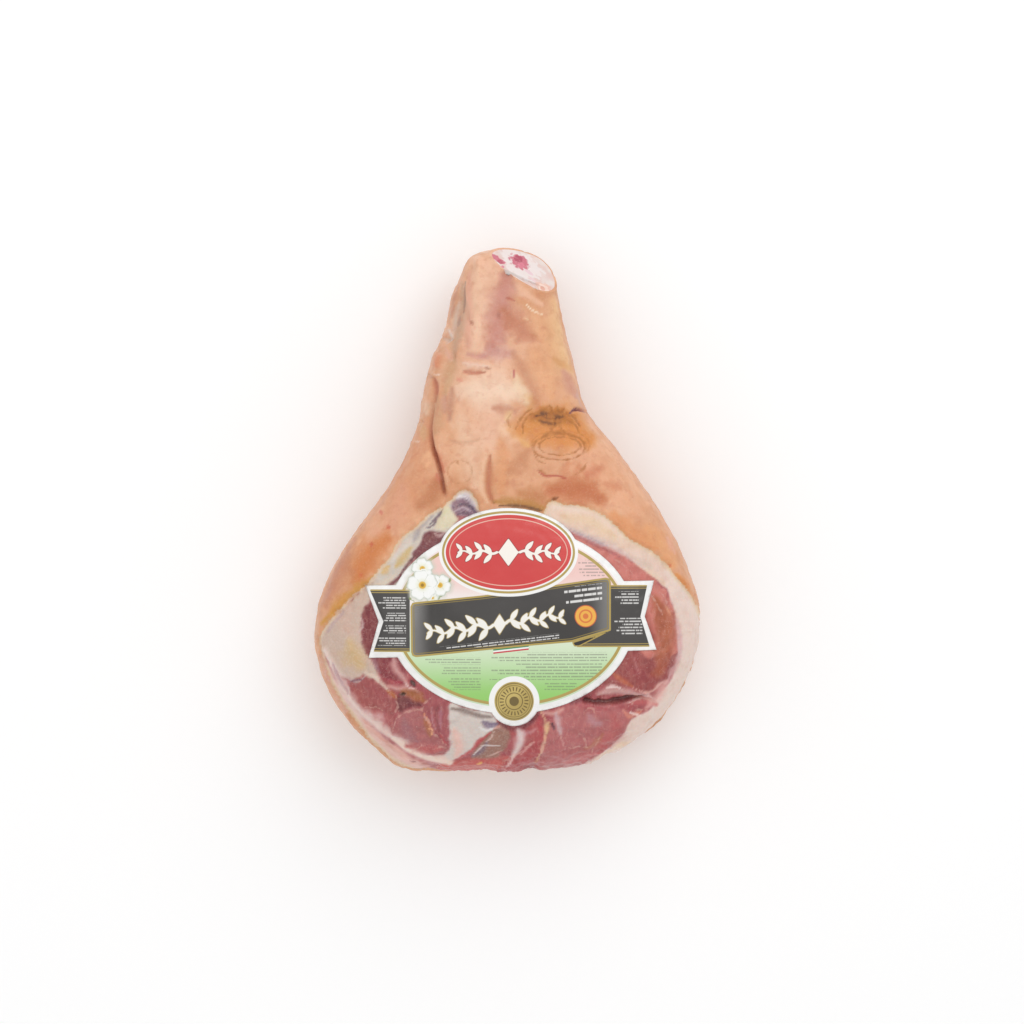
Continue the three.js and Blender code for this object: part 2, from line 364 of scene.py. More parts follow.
# Each line: what it is, its points, half width, colour, strength of the colour, and how far it lifts the
# skin.
RIND_STROKES = [
    ("pale front of the shank", [(-8, 198), (-20, 150), (-15, 60)], 46, "#ebbfa6", 0.65, 0),
    # The shank's right edge is painted paler and yellower: partly the waxy skin, partly painted light.
    ("pale waxy side, partly painted light", [(38, 168), (44, 130), (54, 100)], 14, "#ebc08d", 0.8, 0.8),
    ("top of the shank", [(-32, 204), (-14, 196), (4, 182), (26, 166)], 8, "#f0c0a4", 0.7, 0.5),
    ("rosy corner of the shank", [(-36, 194), (-30, 201), (-20, 201)], 7, "#edb898", 0.7, 0),
    ("tendon ridge", [(-24, 200), (-24, 165), (-27, 130)], 10, "#edc2a4", 0.75, 2.6),
    ("rosy side of the tendon", [(-31, 192), (-32, 160), (-32, 132)], 5, "#e2a58d", 0.7, 0),
    # The hollow beside the tendon is painted darker: painted shade in the dip.
    ("hollow beside the tendon", [(-2, 188), (-5, 170), (-8, 150), (-14, 132)], 15, "#c98b7e", 0.9, -3.6),
    ("brown side of the hollow", [(-4, 162), (6, 150), (20, 139)], 11, "#c37e62", 0.9, -1.4),
    ("mauve foot of the hollow", [(-22, 124), (-10, 128), (2, 126)], 9, "#cf9c92", 0.8, -0.6),
    ("orange side of the shank", [(20, 160), (28, 140), (34, 120)], 11, "#e4ac80", 0.6, 0.8),
    ("glow under the shank", [(20, 128), (26, 110), (34, 92)], 12, "#e6aa7d", 0.7, 0.6),
    ("blush over the notch", [(44, 112), (50, 102), (54, 92)], 7, "#cc8f7e", 0.75, 0),
    ("ochre beside the blush", [(36, 122), (46, 116), (52, 112)], 4, "#d69c62", 0.6, 0),
    ("pale calf", [(-34, 98), (-12, 96), (8, 94)], 22, "#f0cfb5", 0.9, 2.2),
    ("tan border of the calf", [(4, 126), (12, 112), (19, 98), (22, 86)], 6.5, "#c98d6c", 0.7, -0.8),
    ("cream border of the calf", [(4, 110), (9, 100), (16, 84)], 7, "#ecd0ae", 0.7, 0.8),
    # A fold runs across the shank: its lip is painted paler and its creases darker, a painted highlight on the
    # lip and painted shade in the creases.
    ("upper crease, rosy", [(-33, 126), (-26, 124), (-17, 125)], 3.4, "#cf938a", 0.6, -0.8),
    ("fold lip", [(-36, 119), (-27, 117), (-16, 116)], 3.4, "#edcdbd", 0.6, 1.2),
    ("fold across the shank", [(-36, 112), (-28, 111), (-19, 111)], 2.4, "#c9826b", 0.85, -1.8),
    ("end of the fold", [(-19, 115), (-15, 114)], 1.6, "#c08a72", 0.8, -1.0),
    ("flush by the fold", [(-41, 106), (-37, 104)], 3, "#dc8f7a", 0.7, 0),
    # Beside the flap the shank is painted a greyish tan: a painted shade line along the flap's edge.
    ("strip beside the flap", [(-38, 182), (-39, 160), (-43, 138), (-46, 122)], 6, "#c09a80", 0.8, -1.6),
    ("tan groove down the shank", [(-45, 124), (-48, 110), (-52, 94)], 6, "#cda37c", 0.7, -1.0),
    ("dark streak", [(-35, 184), (-36, 173), (-37, 160)], 1.8, "#957668", 0.6, -0.5),
    ("flap of the hock", [(-42, 180), (-46, 166), (-49, 152)], 5, "#b3745c", 0.95, 1.4),
    ("membrane on the flap", [(-40, 168), (-42, 158), (-45, 146)], 3.2, "#d2b8a8", 0.65, 0.2),
    ("bruise", [(-40, 156), (-42, 149)], 1.6, "#a07a70", 0.5, 0),
    ("notch under the flap", [(-54, 140), (-50, 137), (-46, 138)], 2.0, "#d8c0b3", 0.7, -1.6),
    ("pale end of the flap", [(-53, 147), (-48, 145), (-45, 139)], 2.0, "#dcc6ba", 0.6, 0.8),
    ("white wisp", [(-48, 146), (-46, 140), (-49, 134)], 1.3, "#e9ddd5", 0.35, 0.2),
    ("orange lobe", [(-59, 126), (-57, 117)], 7, "#d88a66", 0.9, 2.2),
    ("pale top of the lobe", [(-50, 130), (-47, 122)], 3.5, "#deaa92", 0.8, 0),
    ("thread of fat", [(-61, 111), (-58, 109), (-55, 110)], 0.9, "#efe0d4", 0.6, 0.4),
    ("notch under the lobe", [(-66, 109), (-61, 107)], 1.8, "#c98467", 0.7, -2.2),
    ("red hollow under the lobe", [(-60, 106), (-58, 97), (-59, 88)], 3.4, "#b4684f", 0.85, -1.4),
    ("peach side of the lobe", [(-67, 100), (-67, 90)], 4.5, "#e0aa88", 0.8, 1.0),
    ("pale lobe", [(-68, 88), (-65, 78)], 5.5, "#e3bfa3", 0.8, 1.6),
    ("notch under the pale lobe", [(-73, 71), (-68, 72)], 1.8, "#d5a583", 0.6, -1.6),
    ("mauve shade beside the crease", [(-52, 92), (-52, 80)], 5, "#cc9680", 0.8, -0.8),
    ("tan fold beside the calf", [(-46, 98), (-48, 74)], 5, "#c48f76", 0.8, -1.0),
    ("left thigh", [(-66, 62), (-76, 30), (-92, 0)], 24, "#d99770", 0.75, 0),
    ("peach of the left thigh", [(-64, 46), (-66, 36)], 6, "#eeb78c", 0.7, 0.6),
    ("sallow top of the left thigh", [(-70, 68), (-68, 58)], 6, "#d4a377", 0.8, 0),
    ("brown of the left thigh", [(-58, 22), (-62, 10), (-72, 4)], 11, "#bf7c55", 0.8, -0.6),
    ("pit in the left thigh", [(-58, 30), (-56, 24)], 2.4, "#cc7257", 0.8, -1.0),
    ("rosy left thigh", [(-84, 16), (-92, -8), (-104, -18)], 13, "#dfa284", 0.7, 0.8),
    ("orange of the left thigh", [(-98, -24), (-114, -38), (-120, -55)], 15, "#cf7c44", 0.9, 1.0),
    ("glow in the left thigh", [(-104, -2), (-112, -24)], 8, "#e3a583", 0.6, 0),
    # Towards the left edge the thigh is painted browner, rosier and more mauve: painted shade on the side away
    # from the light.
    ("brown of the left edge", [(-128, -36), (-140, -58), (-148, -76)], 9, "#c27d5c", 0.6, 0),
    ("rosy rim of the left thigh", [(-86, 42), (-100, 12), (-122, -18)], 4, "#c9907c", 0.7, 0),
    ("mauve rim of the left thigh", [(-124, -22), (-140, -48), (-153, -80)], 4, "#bd8478", 0.7, 0),
    ("red freckle", [(-97, -13), (-96, -14)], 2.2, "#cc6348", 0.8, -0.2),
    ("red freckle", [(-110, -26), (-110, -29)], 2.2, "#c85f40", 0.8, -0.2),
    ("red freckle", [(-118, -51), (-119, -53)], 2.4, "#cb6540", 0.7, -0.2),
    ("red freckle", [(-103, 0), (-102, -3)], 3.0, "#cf7361", 0.8, -0.2),
    ("ochre edge of the rind", [(-106, -52), (-122, -65), (-137, -79), (-150, -91)], 5, "#cd9444", 0.9, 0.6),
    ("ochre skin", [(-132, -68), (-142, -80)], 6, "#cf8f45", 0.7, 0),
    ("pale rim at the hip", [(-154, -88), (-156, -100), (-152, -112)], 3, "#e2cdb8", 0.8, 0),
    ("mauve rim", [(-151, -118), (-143, -146), (-130, -168), (-120, -180)], 7, "#d6aba8", 0.95, 0),
    ("orange rim", [(-130, -164), (-118, -181), (-104, -195), (-84, -206)], 3.6, "#c98455", 0.85, 0.3),
    ("skin beside the left crease", [(-54, 60), (-53, 40), (-49, 22)], 8, "#e0ab88", 0.8, 1.8),
    ("red side of the left crease", [(-61, 52), (-56, 42), (-51, 30)], 3.6, "#c46a4c", 0.85, 0),
    ("tan beside the left crease", [(-58, 92), (-58, 76), (-58, 62)], 6, "#c89a76", 0.7, 0),
    ("centre of the thigh", [(-38, 70), (-32, 50), (-26, 20)], 15, "#e7bd9f", 0.8, 0.8),
    ("faint pleat", [(-46, 56), (-36, 54), (-24, 57)], 2.4, "#cf9e80", 0.5, -0.7),
    ("shadow under the calf", [(-12, 82), (-4, 81), (5, 80)], 6, "#c98f74", 0.8, -1.0),
    ("shadow right of the calf", [(14, 84), (20, 82), (24, 86)], 4, "#cf9c78", 0.6, -0.6),
    # The long pleat is painted darker in its crease and paler on its raised side: painted shade and painted
    # light.
    ("long pleat", [(-15, 44), (-16, 28), (-16, 16), (-12, 6)], 3.4, "#bb7050", 0.8, -1.8),
    ("pale side of the pleat", [(-20, 40), (-22, 20), (-17, 6)], 4, "#e9bd9c", 0.7, 0.8),
    ("orange right of the pleat", [(-6, 56), (-4, 34), (-6, 16)], 9, "#dc9a6c", 0.8, 0),
    ("shade in the middle of the thigh", [(0, 30), (8, 38), (16, 48)], 8, "#c98a64", 0.8, -1.2),
    ("light over that shade", [(-6, 66), (4, 60), (12, 62)], 8, "#eec3a0", 0.7, 0.6),
    ("right thigh", [(50, 60), (75, 30), (100, 0)], 22, "#e8ac88", 0.7, 0),
    # Along the right edge the thigh is painted paler: painted light on the lit side.
    ("light rim of the right thigh", [(66, 72), (88, 44), (112, 6)], 8, "#e9b390", 0.8, 0),
    ("brown of the right thigh", [(34, 16), (56, 18), (74, 10)], 15, "#bf6c42", 0.9, -1.0),
    ("flush of the right thigh", [(64, 30), (74, 34)], 7, "#cd7a58", 0.6, 0),
    ("freckled brown", [(78, 22), (90, 18)], 6, "#cf8460", 0.6, 0),
    ("brown left of the nick", [(10, 14), (22, 10), (30, 6)], 10, "#c07f50", 0.8, 0),
    ("ochre over the label", [(-12, 7), (8, 6), (28, 2)], 5, "#b68040", 0.9, 0),
    ("green-brown by the label", [(-8, 4), (10, 3.5), (26, 0)], 1.6, "#6b4526", 0.9, 0),
    ("orange over the fat", [(84, -4), (100, -18), (118, -30)], 11, "#dc9462", 0.85, 0.4),
    ("orange of the right side", [(112, -14), (126, -30), (132, -44)], 11, "#e3a16e", 0.8, 0.4),
    ("pink streak", [(128, -22), (134, -34)], 4, "#e1a796", 0.6, 0),
    ("orange tip", [(135, -52), (141, -60), (145, -66)], 5, "#db8e4e", 0.9, 0.4),
    # The right rim is painted paler: painted light on the lit side.
    ("pale right rim", [(120, 2), (136, -26), (150, -62)], 4, "#efc3a6", 0.7, 0),
    ("freckle", [(129, -44), (130, -45)], 2.2, "#bf5a3c", 0.9, -0.2),
    ("rust stain of the brand", [(10, 64), (34, 72), (64, 58)], 19, "#d48840", 0.85, 0),
    ("ochre scorch of the brand", [(20, 75), (34, 77), (50, 72)], 9, "#b06c26", 0.95, 0),
    ("orange stain of the brand", [(20, 56), (42, 60), (64, 56)], 13, "#d88944", 0.7, 0),
    ("yellow stain left of the brand", [(-2, 74), (2, 80)], 4, "#eac48c", 0.6, 0),
    ("gold stain left of the brand", [(10, 56), (16, 52)], 5, "#e3ab64", 0.7, 0),
    ("rosy scratch under the brand", [(24, 32), (30, 28), (40, 28), (48, 25)], 1.6, "#b3503f", 0.85, -0.6),
    ("lavender over the notch", [(56, 98), (59, 88), (61, 82)], 3.5, "#c3a5ab", 0.85, 0),
    ("side notch", [(50, 79), (54, 82), (58, 81), (66, 78)], 1.5, "#7b4c63", 0.9, -1.8),
    ("brown spot", [(-30, 152), (-28, 150)], 2.2, "#b27660", 0.85, -0.4),
    ("pit of the hollow", [(-8, 160), (-8, 155)], 2.6, "#a5695a", 0.75, -0.6),
    # A short white line on the shank: a painted glint of the vacuum film.
    ("painted film glint on the shank", [(14, 166), (19, 161), (27, 158)], 1.0, "#f8e2c4", 0.9, 0.4),
    ("pale nick", [(13, 155), (16, 154)], 1.2, "#f0cfa8", 0.7, 0.3),
    ("red nick", [(-2, 172), (1, 171), (5, 169)], 1.5, "#bb6c59", 0.8, -0.4),
    ("red cut", [(4, 113), (4, 107)], 1.5, "#b5565c", 0.85, -0.8),
    # A thin white line at the left: a painted glint of the vacuum film.
    ("painted film glint at the left", [(-80, 54), (-76, 56), (-71, 55)], 1.0, "#f0e4da", 0.6, 0.4),
    ("skin beside the nick", [(34, 4), (36, 9), (40, 10)], 1.5, "#74401f", 0.8, -0.8),
]

RIND_EDGE_HEIGHT = 2.4  # how far the trimmed rind stands above the fat beside it

# Folds of skin that lap over each other: points, depth, width and the height of the lip on the line's left.
FOLDS = [
    ([(-59, 104), (-61, 84), (-63, 66), (-61, 52), (-57, 40), (-54, 28), (-52, 16), (-49, 7)], 5.0, 1.7, 2.4),
    ([(70, 76), (63, 79), (57, 81), (52, 81)], 1.6, 1.1, 1.6),
]

rind_mm = -inside(plan, through(OPENING, closed=True)) + 0.7 * fine_wobble + 0.6 * wobble
open_share = smooth(-1.0, 1.0, -rind_mm)

skin = np.empty((len(plan), 3))
skin[:] = srgb("#dca27c")
paint(skin, smooth(-0.2, 0.9, fractal(55, 3, 1.0)), "#e6b28d", 0.7)
paint(skin, smooth(0.0, 1.0, fractal(38, 3, 2.0)), "#c98a60", 0.5)
lift = np.zeros(len(plan))
facing_up = smooth(*MARK_FADE, normals[:, 2])
for _, points, half_width, colour, strength, raised in RIND_STROKES:
    cover = stroke(points, half_width)
    shown = np.maximum(facing_up, smooth(*WIDE_MARK, half_width))
    paint(skin, cover * shown, colour, strength)
    lift += raised * cover * np.maximum(shown, 0.6) * (1 - open_share)

painted_fold_shade = np.zeros(len(plan))
for points, depth, width, lip in FOLDS:
    line = through(points)
    near = close_to(line, 6 * width)
    off, share = to_line(plan[near], line)
    fade = smooth(0, 0.6, share) * smooth(0, 0.15, 1 - share) * np.maximum(facing_up[near], 0.25)
    groove = np.exp(-((off / width) ** 2)) * fade
    lift[near] -= depth * groove
    lift[near] += lip * fade * np.exp(-(((off - 2.4 * width) / (1.8 * width)) ** 2))
    painted_fold_shade[near] = np.maximum(painted_fold_shade[near], groove)
# The bottoms of the folds are painted dark brown: painted shade in the creases.
paint(skin, painted_fold_shade, "#974c36", 0.75)

# The hot iron leaves three plain rings, one inside another, and a scorched patch where it slipped. Another
# ring on the left barely took.
BRAND = (41, 51, 21, 10.5)
scorch = np.zeros(len(plan))


def burn_ring(x, y, wide, tall, line_width, strength):
    size = np.hypot((plan[:, 0] - x) / wide, (plan[:, 1] - y) / tall)
    off = np.abs(size - 1) * min(wide, tall) * (1 + 0.35 * fine_wobble)
    np.maximum(scorch, strength * (1 - smooth(0.4, 1.0, off / line_width)), out=scorch)


x, y, wide, tall = BRAND
burn_ring(x, y, wide, tall, 1.0, 0.42)
burn_ring(x, y + 1, 0.8 * wide, 0.7 * tall, 0.8, 0.42)
burn_ring(x + 1, y + 2, 1.12 * wide, 1.12 * tall, 0.7, 0.24)
burn_ring(-39, 31, 9.5, 9.5, 1.2, 0.26)
for points, half_width, burnt in [
    ([(26, 58), (34, 62), (46, 62), (58, 58)], 2.8, 0.55),
    ([(22, 76), (28, 78), (36, 75), (44, 76)], 5.0, 0.8),
    ([(25, 73), (33, 70), (42, 71)], 4.4, 0.75),
    ([(28, 80), (33, 84), (36, 79)], 1.8, 0.6),
    ([(39, 84), (42, 79), (45, 82)], 1.6, 0.6),
    ([(33, 71), (35, 65), (36, 61)], 1.8, 0.6),
    ([(41, 71), (42, 66), (45, 63)], 1.6, 0.55),
    ([(47, 79), (53, 75), (58, 68)], 1.8, 0.5),
    ([(48, 73), (54, 69), (57, 63)], 1.4, 0.45),
    ([(12, 62), (12, 70), (17, 77), (25, 80)], 1.2, 0.5),
    ([(5, 64), (8, 71), (13, 78), (20, 83)], 1.3, 0.4),
    ([(2, 78), (-1, 72), (2, 66)], 1.2, 0.3),
    ([(24, 33), (28, 31), (32, 27)], 1.4, 0.38),
    ([(20, 46), (24, 40), (30, 38)], 1.2, 0.34),
    ([(54, 29), (60, 33), (64, 40)], 1.4, 0.38),
    ([(-42, 40), (-40, 37)], 2.0, 0.34),
]:
    np.maximum(scorch, burnt * stroke(points, half_width), out=scorch)
lift -= 0.8 * scorch * (1 - open_share)

# ---- Ham: lean and fat -----------------------------------------------------------------------------------
# The open side of the thigh: dark red muscles in thin white sheaths, a thick band of fat under the rind on
# the right, and a patch of lard smoothed over the hip on the left.

# Each line: what it is, its outline, softness of its edge, colour, strength, and how far it stands out.
FLESH_PATCHES = [
    ("fascia of the left thigh", [
        (-46, 9), (-58, 3), (-74, -10), (-88, -21), (-100, -40), (-114, -60), (-92, -62), (-76, -38),
        (-60, -28), (-44, -20),
    ], 1.6, "#cdc3b6", 0.97, 1.2),
    ("cream fat by the label", [
        (-55, 0), (-48, 3), (-42, -8), (-52, -16), (-60, -12),
    ], 2.0, "#ddd1b1", 0.9, 0.5),
    ("muscle under the shank skin", [
        (-46, 7), (-40, 12), (-32, 12), (-26, 4), (-22, -6), (-42, -3),
    ], 1.6, "#8a6d7c", 0.95, -1.4),
    ("lean by the medallion", [
        (-66, -17), (-57, -17), (-46, -20), (-52, -34), (-70, -40), (-77, -36), (-71, -24),
    ], 1.2, "#6d333b", 0.97, -1.0),
    ("lard on the hip", [
        (-108, -54), (-124, -68), (-142, -86), (-154, -104), (-148, -118), (-137, -132), (-124, -137),
        (-116, -133), (-104, -136), (-111, -120), (-118, -104), (-118, -88), (-112, -74),
    ], 1.6, "#cbb2a1", 0.98, 2.2),
    ("lean beside the left tail", [
        (-113, -75), (-119, -86), (-119, -100), (-113, -118), (-100, -118), (-98, -90), (-106, -72),
    ], 1.2, "#702a33", 0.97, -1.0),
    ("lean under the left tail", [
        (-108, -117), (-92, -114), (-82, -126), (-86, -140), (-97, -139), (-105, -130),
    ], 1.2, "#7b2b39", 0.97, 0),
    ("left rump muscle", [
        (-128, -138), (-118, -135), (-106, -140), (-97, -148), (-91, -153), (-92, -166), (-92, -181),
        (-102, -177), (-116, -166), (-127, -153),
    ], 1.4, "#9c4f52", 0.97, 1.8),
    ("dark lean in the corner", [
        (-90, -151), (-78, -153), (-70, -158), (-80, -161), (-90, -164),
    ], 1.4, "#662730", 0.95, -1.0),
    ("round muscle", [
        (-93, -171), (-86, -163), (-74, -159), (-66, -168), (-56, -184), (-49, -192), (-60, -197),
        (-76, -193), (-90, -182),
    ], 1.2, "#a45e62", 0.97, 2.4),
    ("striped muscle", [
        (-70, -158), (-62, -150), (-48, -156), (-46, -174), (-47, -191), (-57, -183), (-65, -170),
    ], 1.0, "#9b4d56", 0.97, 1.8),
    ("fat of the middle seam", [
        (-48, -157), (-34, -160), (-14, -164), (-10, -176), (-20, -184), (-32, -196), (-44, -203),
        (-54, -200), (-47, -190),
    ], 1.4, "#d3c8c0", 0.98, 0.6),
    ("sheath over the seam", [
        (-16, -180), (-4, -173), (4, -178), (-1, -190), (-10, -200), (-30, -203), (-25, -192),
    ], 1.4, "#96705f", 0.9, -0.6),
    ("lower red muscle", [
        (-56, -206), (-36, -202), (-16, -202), (2, -200), (4, -216), (-30, -220), (-58, -216),
    ], 1.4, "#bf5652", 0.97, 1.2),
    ("middle muscle", [
        (-2, -172), (12, -176), (26, -166), (29, -182), (24, -199), (8, -210), (-8, -210), (4, -196),
        (2, -184),
    ], 1.2, "#a8494e", 0.97, 2.0),
    ("right round muscle", [
        (42, -160), (62, -154), (84, -157), (98, -164), (97, -174), (84, -190), (64, -203), (40, -212),
        (24, -210), (28, -190), (34, -176),
    ], 1.4, "#b06468", 0.97, 2.6),
    ("right rump muscle", [
        (86, -130), (90, -112), (134, -112), (134, -129), (124, -141), (114, -147), (100, -142),
    ], 1.2, "#904244", 0.97, 1.6),
    ("lean beside the right tail", [
        (50, -20), (70, -26), (90, -33), (104, -44), (118, -54), (129, -68), (135, -84), (135, -114),
        (108, -116), (104, -86), (108, -64), (84, -52), (64, -36),
    ], 1.2, "#cb7a70", 0.97, 1.2),
    ("fat band, upper right", [
        (24, -10), (30, 14), (46, 10), (64, 8), (80, 0), (98, -18), (114, -26), (130, -38), (142, -56),
        (128, -62), (118, -54), (104, -44), (92, -33), (72, -26), (52, -17), (38, -12),
    ], 1.0, "#e6cab5", 0.98, 0.6),
    ("fat band, right", [
        (126, -48), (140, -50), (158, -72), (170, -100), (168, -124), (154, -152), (132, -182),
        (104, -206), (72, -220), (60, -206), (76, -195), (92, -182), (98, -170), (114, -162),
        (122, -150), (134, -132), (137, -110), (135, -84), (130, -68),
    ], 1.2, "#e7d0c4", 0.98, 0.8),
]

